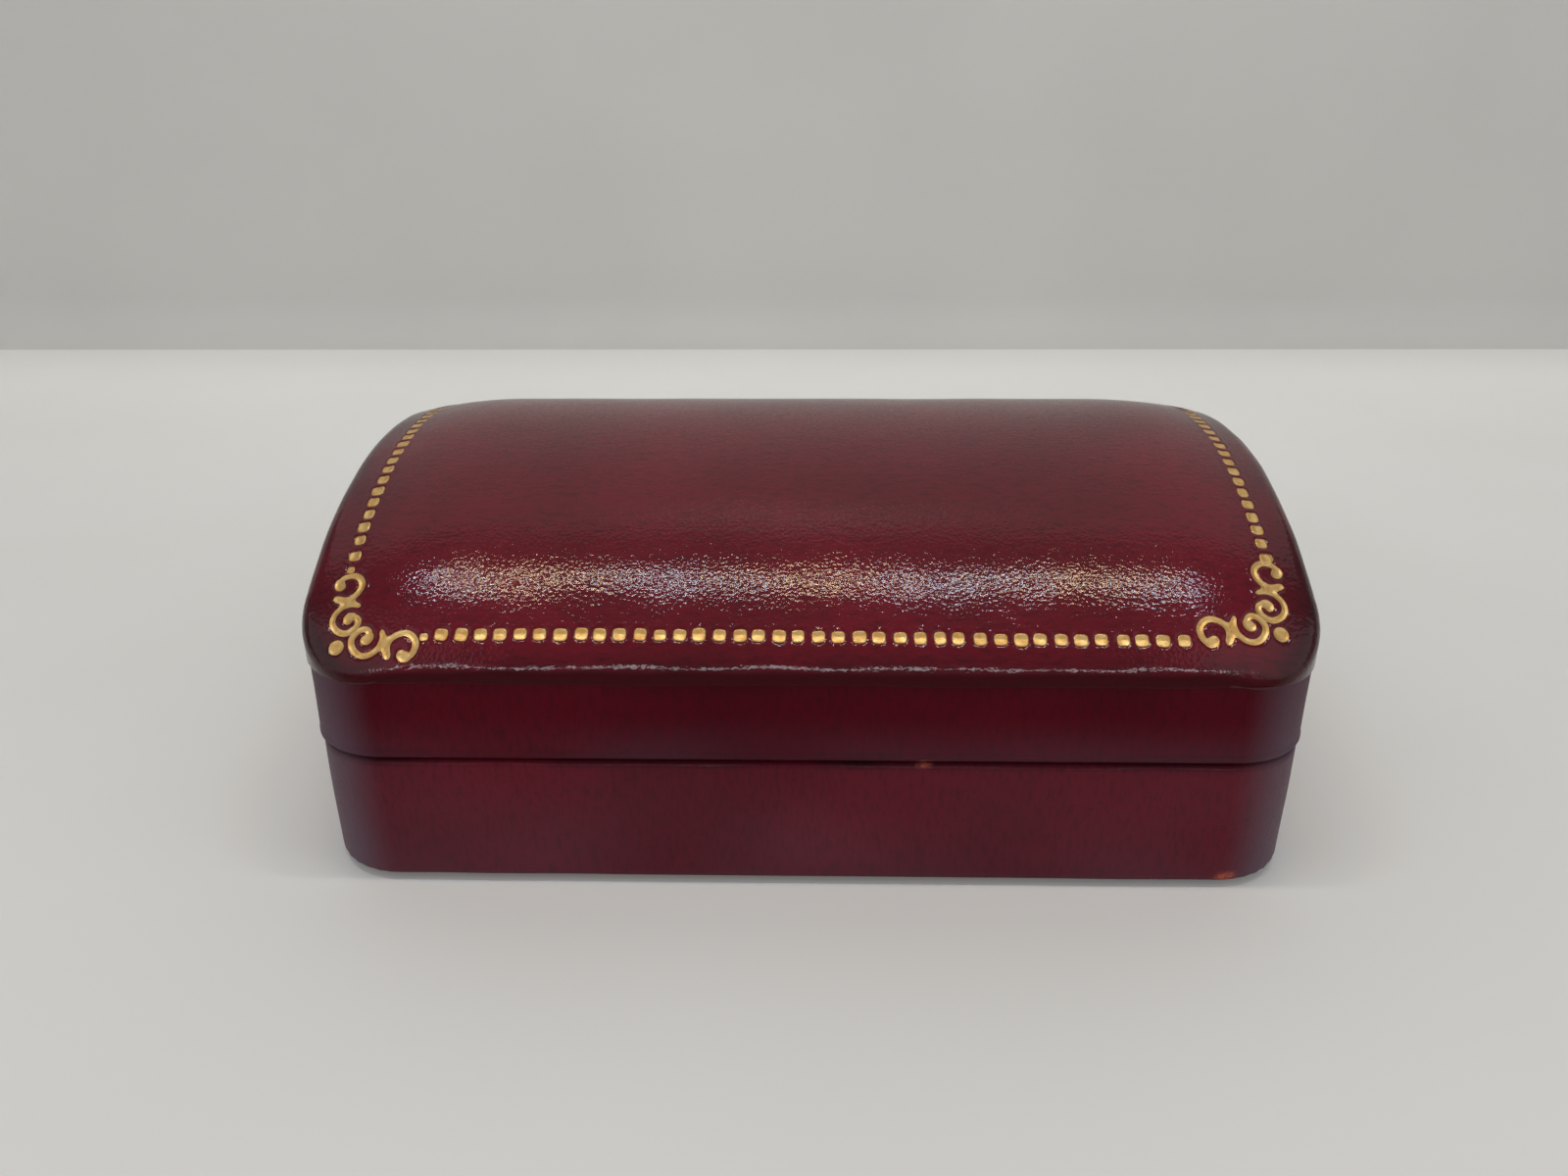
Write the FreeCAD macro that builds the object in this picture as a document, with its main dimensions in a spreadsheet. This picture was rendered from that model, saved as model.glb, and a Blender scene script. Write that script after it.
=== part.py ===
# Trinket box: leather over a wooden carcass, a domed lid on two brass hinges, gold-tooled border.
# Millimetres. X runs along the front, Y to the back, Z up; the origin is under the middle of the base.
import FreeCAD, Part
import math
import os
import re
import Sketcher

Vector = FreeCAD.Vector

# Driving sizes. Each name becomes the alias of one spreadsheet cell.
SIZES = {
    # Overall form, over the leather
    "box_width": 110.0,
    "box_depth": 81.0,
    "total_height": 43.6,
    "lid_wall": 8.7,
    "edge_fall": 1.709226,
    "corner_radius": 9.5,
    "barrel_radius": 57.0,
    "end_roll_length": 16.0,
    "end_roll_drop": 2.1,
    "edge_round": 2.8,
    "end_skirt": 4.8,
    "bottom_round": 0.9,
    # Leather and how its layers step
    "leather": 0.9,
    "edge_step": 0.4,
    "base_inset": 0.1,
    "rim_gap": 0.4,
    "turn_in": 3.0,
    "bottom_leather": 0.6,
    "bottom_margin": 2.5,
    # Wooden carcass
    "wall_wood": 4.5,
    "floor_wood": 3.0,
    "dome_wood": 3.0,
    "frame_drop": 1.0,
    # Velvet inside
    "lining": 1.0,
    "lining_drop": 1.0,
    "floor_pad": 2.6,
    "pad_round": 1.6,
    "pad_gap": 0.3,
    "dome_pad": 1.6,
    "glue_gap": 0.05,
    # Hinges
    "hinge_length": 24.0,
    "hinge_end_gap": 13.0,
    "hinge_inset": 1.6,
    "stop_angle": 100.0,
    "knuckle_radius": 1.25,
    "knuckle_gap": 0.25,
    "barrel_clearance": 0.3,
    "leaf_width": 3.5,
    "leaf_thickness": 0.6,
    "leaf_gap": 0.2,
    "leaf_clearance": 0.1,
    "pin_radius": 0.6,
    "pin_clearance": 0.05,
    "pin_head_radius": 0.95,
    "pin_head": 0.45,
    "nail_radius": 0.45,
    "nail_length": 5.5,
    "nail_head_radius": 0.8,
    "nail_head": 0.35,
    "nail_clearance": 0.03,
    "nail_spacing": 14.0,
    "nail_setback": 2.45,
    # Gold tooling
    "foil": 0.1,
    "dash_pitch": 2.085,
    "dash_length": 1.45,
    "dash_width": 1.35,
    "front_line": 2.8,
    "side_line": 5.1,
    "scroll_size": 9.3,
    "scroll_stem": 0.75,
    "corner_dot": 1.6,
}

# Insets from the widest outline, heights and radii that several pieces share.
PLACES = {
    "barrel_drop": "barrel_radius - sqrt(barrel_radius ^ 2 - (box_depth / 2) ^ 2)",
    "edge_height": "total_height - barrel_drop - edge_fall",
    "seam_height": "edge_height - lid_wall",
    "skirt_face": "0",
    "foil_face": "-foil",
    "lid_face": "edge_step",
    "lid_wood": "lid_face + leather",
    "lid_inside": "lid_wood + wall_wood",
    "lid_rebate": "lid_inside - leather",
    "lid_lining_out": "lid_inside + glue_gap",
    "lid_lining_in": "lid_lining_out + lining",
    "base_face": "edge_step + base_inset",
    "base_wood": "base_face + leather",
    "base_inside": "base_wood + wall_wood",
    "base_rebate": "base_inside - leather",
    "base_lining_out": "base_inside + glue_gap",
    "base_lining_in": "base_lining_out + lining",
    "pad_edge": "base_lining_in + pad_gap",
    "bottom_edge": "base_face + bottom_margin",
    "base_rim": "seam_height - rim_gap / 2",
    "lid_rim": "seam_height + rim_gap / 2",
    "frame_bottom": "bottom_leather + leather",
    "floor_top": "bottom_leather + floor_wood",
    "frame_top": "edge_height - frame_drop",
    "axis_height": "total_height - barrel_radius",
    "roll_radius": "(end_roll_length ^ 2 + end_roll_drop ^ 2) / (2 * end_roll_drop)",
    "skirt_radius": "barrel_radius - end_skirt",
    "ceiling": "barrel_radius - leather - dome_wood",
    "hinge_x": "box_width / 2 - hinge_end_gap - hinge_length / 2",
    "hinge_y": "box_depth / 2 - lid_face - hinge_inset",
    "bevel_shift": "leather * tan(stop_angle / 4 * 1 deg)",
    "bevel_slope": "tan(stop_angle / 2 * 1 deg)",
    "bevel_run": "hinge_inset + 2 * leather",
    "groove_radius": "knuckle_radius + barrel_clearance",
    "groove_length": "hinge_length + 2 * (pin_head + barrel_clearance)",
    "leaf_recess": "leaf_gap / 2 + leaf_thickness - rim_gap / 2",
    "nail_y": "hinge_y - nail_setback",
    "pin_bore": "pin_radius + pin_clearance",
    "nail_hole": "nail_radius + nail_clearance",
}
KNUCKLES = 5
LEAST_ROUND = 0.4
MARGIN = 2.0

# One arm of a corner scroll, as shares of its length along and across the gold line: a small curl,
# a bowl, a crest and an end curl, each an arc through three points, and two spikes at the node.
SCROLL_ARCS = [
    [(0.355, 0.045), (0.28, 0.161), (0.19, 0.067)],
    [(0.19, 0.067), (0.374, -0.115), (0.586, 0.027)],
    [(0.586, 0.027), (0.809, 0.152), (0.945, -0.054)],
    [(0.945, -0.054), (0.869, -0.12), (0.792, -0.032)],
]
SCROLL_NODE = (0.586, 0.027)
SCROLL_SPIKES = [(0.528, 0.199), (0.649, -0.154)]
NAMES = re.compile("[a-z_]+")

doc = FreeCAD.newDocument("TrinketBox")
sheet = doc.addObject("Spreadsheet::Sheet", "Sizes")
for row, (alias, size) in enumerate(SIZES.items(), start=1):
    sheet.set(f"A{row}", alias)
    sheet.set(f"B{row}", str(size))
    sheet.setAlias(f"B{row}", alias)
doc.recompute()
places = doc.addObject("App::VarSet", "Places")


def tied(formula):
    """Write a formula of plain names as an expression on the sheet and the shared places."""

    def prefixed(match):
        name = match.group(0)
        if name in SIZES:
            return "Sizes." + name
        return "Places." + name if name in PLACES else name

    return NAMES.sub(prefixed, formula)


for place, formula in PLACES.items():
    places.addProperty("App::PropertyFloat", place, "Places")
    places.setExpression(place, tied(formula))
doc.recompute()


def number(formula):
    """Present value of a formula, for the starting points of sketches."""
    return float(sheet.evalExpression(tied(formula)))


def add_polygon(sketch, corners):
    """Closed outline of straight lines; each corner is a pair of formulas."""
    points = [Vector(number(across), number(up), 0) for across, up in corners]
    first = sketch.GeometryCount
    for index, point in enumerate(points):
        sketch.addGeometry(Part.LineSegment(point, points[(index + 1) % len(points)]))
    for index, (across, up) in enumerate(corners):
        line = first + index
        following = first + (index + 1) % len(points)
        sketch.addConstraint(Sketcher.Constraint("Coincident", line, 2, following, 1))
        hold(sketch, Sketcher.Constraint("DistanceX", -1, 1, line, 1, points[index].x), across)
        hold(sketch, Sketcher.Constraint("DistanceY", -1, 1, line, 1, points[index].y), up)


def hold(sketch, constraint, formula):
    """Add a constraint whose value follows a formula."""
    place_in_list = sketch.addConstraint(constraint)
    sketch.setExpression(f"Constraints[{place_in_list}]", tied(formula))


def add_circle(sketch, across, up, radius):
    """Circle with its centre and radius given as formulas."""
    centre = Vector(number(across), number(up), 0)
    curve = sketch.addGeometry(Part.Circle(centre, Vector(0, 0, 1), number(radius)))
    hold(sketch, Sketcher.Constraint("DistanceX", -1, 1, curve, 3, centre.x), across)
    hold(sketch, Sketcher.Constraint("DistanceY", -1, 1, curve, 3, centre.y), up)
    hold(sketch, Sketcher.Constraint("Radius", curve, number(radius)), radius)


def add_outline(sketch, inset):
    """Rounded rectangle of the box's plan, set in from its widest outline by a named inset."""
    width = f"box_width - 2 * {inset}"
    depth = f"box_depth - 2 * {inset}"
    corner = f"max(corner_radius - {inset}; {LEAST_ROUND})"
    x, y, r = number(width) / 2, number(depth) / 2, number(corner)
    sides = [
        ((-x + r, -y), (x - r, -y)),
        ((x, -y + r), (x, y - r)),
        ((x - r, y), (-x + r, y)),
        ((-x, y - r), (-x, -y + r)),
    ]
    first = sketch.GeometryCount
    for start, end in sides:
        sketch.addGeometry(Part.LineSegment(Vector(*start, 0), Vector(*end, 0)))
    for turn, (sign_x, sign_y) in enumerate([(1, -1), (1, 1), (-1, 1), (-1, -1)]):
        circle = Part.Circle(Vector(sign_x * (x - r), sign_y * (y - r), 0), Vector(0, 0, 1), r)
        start = (turn - 1) * math.pi / 2
        sketch.addGeometry(Part.ArcOfCircle(circle, start, start + math.pi / 2))
    arc = first + 4
    for side in range(4):
        sketch.addConstraint(Sketcher.Constraint("Tangent", first + side, 2, arc + side, 1))
        sketch.addConstraint(Sketcher.Constraint("Tangent", arc + side, 2, first + (side + 1) % 4, 1))
        direction = "Vertical" if side % 2 else "Horizontal"
        sketch.addConstraint(Sketcher.Constraint(direction, first + side))
    for side in range(1, 4):
        sketch.addConstraint(Sketcher.Constraint("Equal", arc, arc + side))
    sketch.addConstraint(Sketcher.Constraint("Symmetric", arc + 3, 3, arc + 1, 3, -1, 1))
    hold(sketch, Sketcher.Constraint("DistanceX", first + 3, 1, first + 1, 1, 2 * x), width)
    hold(sketch, Sketcher.Constraint("DistanceY", first, 1, first + 2, 1, 2 * y), depth)
    hold(sketch, Sketcher.Constraint("Radius", arc, r), corner)


def new_sketch(body, name, role, **offsets):
    """Sketch on one of the body's own origin planes, moved by formulas along the sketch's axes."""
    sketch = body.newObject("Sketcher::SketchObject", name)
    plane = next(item for item in body.Origin.OriginFeatures if item.Role == role)
    sketch.AttachmentSupport = [(plane, "")]
    sketch.MapMode = "FlatFace"
    for axis, formula in offsets.items():
        sketch.setExpression(f"AttachmentOffset.Base.{axis}", tied(formula))
    return sketch


def extrude(body, kind, name, sketch, length, towards_plus=True, symmetric=False):
    """Pad or Pocket of a sketch; a pocket runs against its sketch's normal unless reversed."""
    feature = body.newObject("PartDesign::" + kind, name)
    feature.Profile = sketch
    feature.Type = "Length"
    feature.SideType = "Symmetric" if symmetric else "One side"
    feature.setExpression("Length", tied(length))
    feature.Reversed = (not towards_plus) if kind == "Pad" else towards_plus
    sketch.Visibility = False
    doc.recompute()
    return feature


def pad_plan(body, name, height, length, *insets):
    """Pad upwards from a height: a slab for one inset, a ring between two."""
    sketch = new_sketch(body, name + "_plan", "XY_Plane", z=height)
    for inset in insets:
        add_outline(sketch, inset)
    return extrude(body, "Pad", name, sketch, length)


def round_edges(body, name, base, radius, chosen):
    """Fillet of the edges of the last feature that the chosen test picks."""
    names = [f"Edge{index}" for index, edge in enumerate(base.Shape.Edges, start=1) if chosen(edge)]
    fillet = body.newObject("PartDesign::Fillet", name)
    fillet.Base = (base, names)
    fillet.setExpression("Radius", tied(radius))
    doc.recompute()
    return fillet


def lies_at(height, inset):
    """Test for the edges of the plan outline with this inset that lie at one height."""
    level = number(height)
    reach = number(f"box_width / 2 - {inset}")
    side = number(f"box_depth / 2 - {inset}")
    corner = max(number(f"corner_radius - {inset}"), LEAST_ROUND)

    def chosen(edge):
        for spot in (edge.FirstParameter, (edge.FirstParameter + edge.LastParameter) / 2):
            point = edge.valueAt(spot)
            over_x = max(abs(point.x) - (reach - corner), 0)
            over_y = max(abs(point.y) - (side - corner), 0)
            if abs(point.z - level) > 0.01 or abs(math.hypot(over_x, over_y) - corner) > 0.01:
                return False
        return True

    return chosen


def cut_bevel(body, rim, start, up):
    """Slope the back of a rim away from the hinge axis, so that the two slopes stop the lid."""
    sign = "+" if up > 0 else "-"
    other = "-" if up > 0 else "+"
    sketch = new_sketch(body, body.Name + "_bevel_profile", "YZ_Plane")
    far = f"{start} + bevel_run"
    corners = [
        (start, rim),
        (far, f"{rim} {sign} bevel_run * bevel_slope"),
        (far, f"{rim} {other} rim_gap"),
        (start, f"{rim} {other} rim_gap"),
    ]
    add_polygon(sketch, corners)
    extrude(body, "Pocket", body.Name + "_bevel", sketch, f"box_width + {MARGIN}", symmetric=True)


def cut_hinge_seats(body, rim, up, depth, with_leaf):
    """Cut the seats of both hinges into a rim: barrel grooves, leaf recesses and nail holes."""
    for side, sign in (("left", "-"), ("right", "+")):
        groove = new_sketch(body, f"{body.Name}_groove_{side}_round", "YZ_Plane", z=f"{sign}hinge_x")
        add_circle(groove, "hinge_y", "seam_height", "groove_radius")
        extrude(body, "Pocket", f"{body.Name}_groove_{side}", groove, "groove_length", symmetric=True)
    if with_leaf:
        recess = new_sketch(body, body.Name + "_leaf_plan", "XY_Plane", z=rim)
        for sign in "-+":
            left = f"{sign}hinge_x - hinge_length / 2 - leaf_clearance"
            right = f"{sign}hinge_x + hinge_length / 2 + leaf_clearance"
            front = "hinge_y - leaf_width - leaf_clearance"
            add_polygon(recess, [(left, front), (right, front), (right, "hinge_y"), (left, "hinge_y")])
        extrude(body, "Pocket", body.Name + "_leaf_seat", recess, "leaf_recess", towards_plus=up > 0)
    holes = new_sketch(body, body.Name + "_nail_plan", "XY_Plane", z="seam_height")
    for sign in "-+":
        for step in "-+":
            add_circle(holes, f"{sign}hinge_x {step} nail_spacing / 2", "nail_y", "nail_hole")
    extrude(body, "Pocket", body.Name + "_nail_holes", holes, depth, towards_plus=up > 0)


def new_body(label):
    """Empty body that carries the sub-part's name."""
    body = doc.addObject("PartDesign::Body", label)
    body.Label = label
    return body


def cut_away(label, base, tool):
    """Sub-part left when one document object is taken away from another."""
    cut = doc.addObject("Part::Cut", label)
    cut.Base = base
    cut.Tool = tool
    cut.Label = label
    doc.recompute()
    return cut


def frame(label, bottom, top, outer, inner, rebate, rim, up):
    """Wooden wall ring: rebated inside the rim for the turned-in leather, bevelled at the back."""
    body = new_body(label)
    pad_plan(body, label + "_ring", bottom, f"{top} - ({bottom})", outer, inner)
    sketch = new_sketch(body, label + "_rebate_plan", "XY_Plane", z=top if up < 0 else bottom)
    add_outline(sketch, rebate)
    extrude(body, "Pocket", label + "_rebate", sketch, "turn_in - leather", towards_plus=up > 0)
    cut_bevel(body, bottom if up > 0 else top, "hinge_y - bevel_shift", up)
    cut_hinge_seats(body, rim, up, "nail_length", with_leaf=False)
    return body


def base_wall():
    """Base ring of wood and the leather that wraps its wall, rim and lower edge."""
    wood = frame("base_frame", "frame_bottom", "base_rim - leather", "base_wood", "base_inside",
                 "base_rebate", "base_rim", up=-1)
    block = new_body("base_leather_block")
    ring = pad_plan(block, "base_leather_ring", "bottom_leather", "base_rim - bottom_leather",
                    "base_face", "base_inside")
    round_edges(block, "base_lower_edge", ring, "bottom_round", lies_at("bottom_leather", "base_face"))
    cut_bevel(block, "base_rim", "hinge_y", up=-1)
    cut_hinge_seats(block, "base_rim", -1, "nail_length", with_leaf=True)
    return [wood, cut_away("base_wall_leather", block, wood)]


def base_slabs():
    """Floor board, bottom leather, wall lining and floor pad of the base."""
    floor = new_body("base_floor")
    pad_plan(floor, "floor_board", "bottom_leather", "floor_wood", "base_lining_out")
    bottom = new_body("base_bottom_leather")
    pad_plan(bottom, "bottom_panel", "0", "bottom_leather", "bottom_edge")
    strip = new_body("base_wall_lining")
    pad_plan(strip, "base_lining_ring", "floor_top", "base_rim - lining_drop - floor_top",
             "base_lining_out", "base_lining_in")
    pad = new_body("base_floor_pad")
    block = pad_plan(pad, "floor_pad_block", "floor_top", "floor_pad", "pad_edge")
    round_edges(pad, "floor_pad_crown", block, "pad_round", lies_at("floor_top + floor_pad", "pad_edge"))
    return [floor, bottom, strip, pad]


def add_crown(sketch, drop):
    """Region outside the barrel: level along the middle, rolled down by an arc at each end."""
    radius = f"roll_radius - ({drop})"
    half = number("box_width / 2 - end_roll_length")
    crown = number(f"barrel_radius - ({drop})")
    reach = number(f"box_width / 2 + {MARGIN / 2}")
    top = number("barrel_radius + box_depth / 2")
    turn = math.asin((reach - half) / number(radius))
    end = crown - number(radius) * (1 - math.cos(turn))
    level = sketch.addGeometry(Part.LineSegment(Vector(half, crown, 0), Vector(-half, crown, 0)))
    arcs = []
    for sign, start in ((1, math.pi / 2 - turn), (-1, math.pi / 2)):
        centre = Vector(sign * half, crown - number(radius), 0)
        circle = Part.Circle(centre, Vector(0, 0, 1), number(radius))
        arcs.append(sketch.addGeometry(Part.ArcOfCircle(circle, start, start + turn)))
    left = sketch.addGeometry(Part.LineSegment(Vector(-reach, end, 0), Vector(-reach, top, 0)))
    above = sketch.addGeometry(Part.LineSegment(Vector(-reach, top, 0), Vector(reach, top, 0)))
    right = sketch.addGeometry(Part.LineSegment(Vector(reach, top, 0), Vector(reach, end, 0)))
    sketch.addConstraint(Sketcher.Constraint("Tangent", arcs[0], 2, level, 1))
    sketch.addConstraint(Sketcher.Constraint("Tangent", level, 2, arcs[1], 1))
    for before, after in ((arcs[1], left), (left, above), (above, right), (right, arcs[0])):
        sketch.addConstraint(Sketcher.Constraint("Coincident", before, 2, after, 1))
    for line in (left, right):
        sketch.addConstraint(Sketcher.Constraint("Vertical", line))
    sketch.addConstraint(Sketcher.Constraint("Symmetric", level, 1, level, 2, -2))
    sketch.addConstraint(Sketcher.Constraint("Symmetric", above, 1, above, 2, -2))
    sketch.addConstraint(Sketcher.Constraint("Equal", arcs[0], arcs[1]))
    hold(sketch, Sketcher.Constraint("DistanceX", level, 2, level, 1, 2 * half),
         "box_width - 2 * end_roll_length")
    hold(sketch, Sketcher.Constraint("DistanceY", -1, 1, level, 1, crown), f"barrel_radius - ({drop})")
    hold(sketch, Sketcher.Constraint("Radius", arcs[0], number(radius)), radius)
    hold(sketch, Sketcher.Constraint("DistanceX", above, 1, above, 2, 2 * reach), f"box_width + {MARGIN}")
    hold(sketch, Sketcher.Constraint("DistanceY", -1, 1, above, 1, top), "barrel_radius + box_depth / 2")


def turn_away(body, name, sketch):
    """Groove that turns a sketch about the barrel's axis, over the upper half."""
    groove = body.newObject("PartDesign::Groove", name)
    groove.Profile = sketch
    groove.ReferenceAxis = (sketch, ["H_Axis"])
    groove.Midplane = True
    groove.Angle = 180.0
    sketch.Visibility = False
    doc.recompute()
    return groove


def trim_barrel(body, name, low, high):
    """Take away what lies between two radii round the barrel's axis."""
    sketch = new_sketch(body, name + "_profile", "XZ_Plane", y="axis_height")
    reach = f"box_width / 2 + {MARGIN}"
    add_polygon(sketch, [(f"-({reach})", low), (reach, low), (reach, high), (f"-({reach})", high)])
    return turn_away(body, name, sketch)


def dome(label, bottom, inset, drop, edge_radius):
    """Block with the plan outline at one inset under the rolled barrel, its upper edge rounded."""
    body = new_body(label)
    pad_plan(body, label + "_block", bottom, f"total_height + {MARGIN} - ({bottom})", inset)
    crown = new_sketch(body, label + "_crown_profile", "XZ_Plane", y="axis_height")
    add_crown(crown, drop)
    shaped = turn_away(body, label + "_crown", crown)
    floor_level = number(bottom)

    def upper_rim(edge):
        if edge.BoundBox.ZMin < floor_level + 0.01:
            return False
        walls = 0
        for face in shaped.Shape.ancestorsOfType(edge, Part.Face):
            first_u, last_u, first_v, last_v = face.ParameterRange
            walls += abs(face.normalAt((first_u + last_u) / 2, (first_v + last_v) / 2).z) < 0.001
        return walls == 1

    round_edges(body, label + "_rolled_edge", shaped, edge_radius, upper_rim)
    return body


def add_arch(sketch, over):
    """Region over, or under, the edge of the top leather: level at the walls, an arch at the ends."""
    radius = number("skirt_radius")
    centre = number("axis_height")
    level = number("edge_height")
    spring = math.asin((level - centre) / radius)
    half = radius * math.cos(spring)
    circle = Part.Circle(Vector(0, centre, 0), Vector(0, 0, 1), radius)
    arch = sketch.addGeometry(Part.ArcOfCircle(circle, spring, math.pi - spring))
    sketch.addConstraint(Sketcher.Constraint("PointOnObject", arch, 3, -2))
    hold(sketch, Sketcher.Constraint("DistanceY", -1, 1, arch, 3, centre), "axis_height")
    hold(sketch, Sketcher.Constraint("Radius", arch, radius), "skirt_radius")
    for end in (1, 2):
        hold(sketch, Sketcher.Constraint("DistanceY", -1, 1, arch, end, level), "edge_height")
    if over:
        reach = number(f"box_depth / 2 + {MARGIN}")
        top = number(f"total_height + 2 * {MARGIN}")
        spots = [(-half, level), (-reach, level), (-reach, top), (reach, top), (reach, level), (half, level)]
    else:
        spots = [(-half, level), (half, level)]
    lines = []
    for start, end in zip(spots, spots[1:]):
        lines.append(sketch.addGeometry(Part.LineSegment(Vector(*start, 0), Vector(*end, 0))))
    loop = [arch, *lines]
    for index, curve in enumerate(loop):
        following = loop[(index + 1) % len(loop)]
        sketch.addConstraint(Sketcher.Constraint("Coincident", curve, 2, following, 1))
    if over:
        for line, direction in zip(lines, ("Horizontal", "Vertical", None, "Vertical", "Horizontal")):
            if direction:
                sketch.addConstraint(Sketcher.Constraint(direction, line))
        sketch.addConstraint(Sketcher.Constraint("Symmetric", lines[2], 1, lines[2], 2, -2))
        hold(sketch, Sketcher.Constraint("DistanceX", lines[2], 1, lines[2], 2, 2 * reach),
             f"box_depth + 2 * {MARGIN}")
        hold(sketch, Sketcher.Constraint("DistanceY", -1, 1, lines[2], 1, top),
             f"total_height + 2 * {MARGIN}")


def lid_wall():
    """Lid ring of wood and the leather that wraps its wall, rim and the ends under the arch."""
    wood = frame("lid_frame", "lid_rim + leather", "frame_top", "lid_wood", "lid_inside",
                 "lid_rebate", "lid_rim", up=1)
    block = new_body("lid_leather_block")
    pad_plan(block, "lid_leather_ring", "lid_rim", "total_height - lid_rim", "lid_face", "lid_wood")
    arch = new_sketch(block, "lid_leather_arch", "YZ_Plane")
    add_arch(arch, over=True)
    extrude(block, "Pocket", "lid_leather_top", arch, f"box_width + {MARGIN}", symmetric=True)
    pad_plan(block, "lid_leather_rim", "lid_rim", "turn_in", "lid_face", "lid_inside")
    cut_bevel(block, "lid_rim", "hinge_y", up=1)
    cut_hinge_seats(block, "lid_rim", 1, "nail_length", with_leaf=True)
    return [wood, cut_away("lid_wall_leather", block, wood)]


def lid_top():
    """Hollow wooden dome, the leather over it and the velvet inside it."""
    outside = dome("dome_outside", "edge_height", "skirt_face", "0", "edge_round")
    under = new_sketch(outside, "skirt_arch", "YZ_Plane")
    add_arch(under, over=False)
    extrude(outside, "Pocket", "skirt_ends", under, f"box_width + {MARGIN}", symmetric=True)
    core = dome("dome_core", "frame_top", "lid_wood", "leather", "edge_round - leather")
    leather = cut_away("lid_top_leather", outside, core)
    hollow = new_body("dome_hollow")
    pad_plan(hollow, "hollow_block", "frame_top", f"total_height + {MARGIN} - frame_top", "lid_inside")
    trim_barrel(hollow, "hollow_ceiling", "ceiling", "ceiling + box_depth")
    shell = cut_away("lid_dome", core, hollow)
    strip = new_body("lid_wall_lining")
    pad_plan(strip, "lid_lining_ring", "lid_rim + lining_drop", "total_height - lid_rim - lining_drop",
             "lid_lining_out", "lid_lining_in")
    trim_barrel(strip, "lid_lining_top", "ceiling - dome_pad - glue_gap", "ceiling + box_depth")
    pad = new_body("lid_dome_lining")
    pad_plan(pad, "lid_pad_block", "frame_top - dome_pad", f"total_height + {MARGIN} - frame_top",
             "lid_lining_out")
    trim_barrel(pad, "lid_pad_back", "ceiling - glue_gap", "ceiling + box_depth")
    trim_barrel(pad, "lid_pad_face", "0", "ceiling - dome_pad")
    return [leather, shell, strip, pad, *gold(outside)]


def crown_at(inset):
    """Radius and end slope of the rolled barrel at an inset from its end."""
    run = max(number("end_roll_length") - inset, 0)
    roll = number("roll_radius")
    slope = math.asin(run / roll)
    return number("barrel_radius") - roll * (1 - math.cos(slope)), slope


def foil_tile(left, right, start, end, radius):
    """Upright block that cuts one dash from the foil, between two angles round the barrel."""
    low, high = sorted((radius * math.sin(start), radius * math.sin(end)))
    middle = number("axis_height") + radius * math.cos((start + end) / 2)
    corner = Vector(left, low, middle - MARGIN)
    return Part.makeBox(right - left, high - low, 2 * MARGIN, corner)


def even_steps(length, pitch):
    """Centres of as many pitches as fit in a length, about its middle."""
    count = int(length / pitch)
    return [(index - (count - 1) / 2) * pitch for index in range(count)]


def border_tiles():
    """Blocks for the dashes of the four gold lines, between the corner scrolls."""
    pitch, length, width = number("dash_pitch"), number("dash_length"), number("dash_width")
    scroll = number("scroll_size + dash_pitch - dash_length")
    tiles = []
    radius = number("barrel_radius")
    angle = math.asin(number("box_depth / 2 - front_line") / radius)
    for centre in even_steps(number("box_width - 2 * side_line") - 2 * scroll, pitch):
        for side in (-1, 1):
            spread = width / radius / 2
            ends = (side * angle - spread, side * angle + spread)
            tiles.append(foil_tile(centre - length / 2, centre + length / 2, *ends, radius))
    radius, slope = crown_at(number("side_line"))
    angle = math.asin(number("box_depth / 2 - front_line") / radius)
    across = number("box_width / 2 - side_line")
    half = width * math.cos(slope) / 2
    for centre in even_steps(2 * angle * radius - 2 * scroll, pitch):
        for side in (-1, 1):
            ends = ((centre - length / 2) / radius, (centre + length / 2) / radius)
            tiles.append(foil_tile(side * across - half, side * across + half, *ends, radius))
    return tiles


def scroll_arm(swap):
    """Flat outline of one scroll arm with its spikes; the other arm swaps the two directions."""
    size, stem = number("scroll_size"), number("scroll_stem")

    def spot(share):
        along, across = share if not swap else share[::-1]
        return Vector(along * size, across * size, 0)

    arcs = [Part.Arc(*(spot(share) for share in arc)).toShape() for arc in SCROLL_ARCS]
    pieces = [Part.Wire(arcs).makeOffset2D(stem / 2, fill=True)]
    node = spot(SCROLL_NODE)
    for share in SCROLL_SPIKES:
        tip = spot(share)
        side = (tip - node).cross(Vector(0, 0, 1)).normalize() * (stem / 2)
        pieces.append(Part.Face(Part.makePolygon([node + side, tip, node - side, node + side])))
    return pieces


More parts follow.
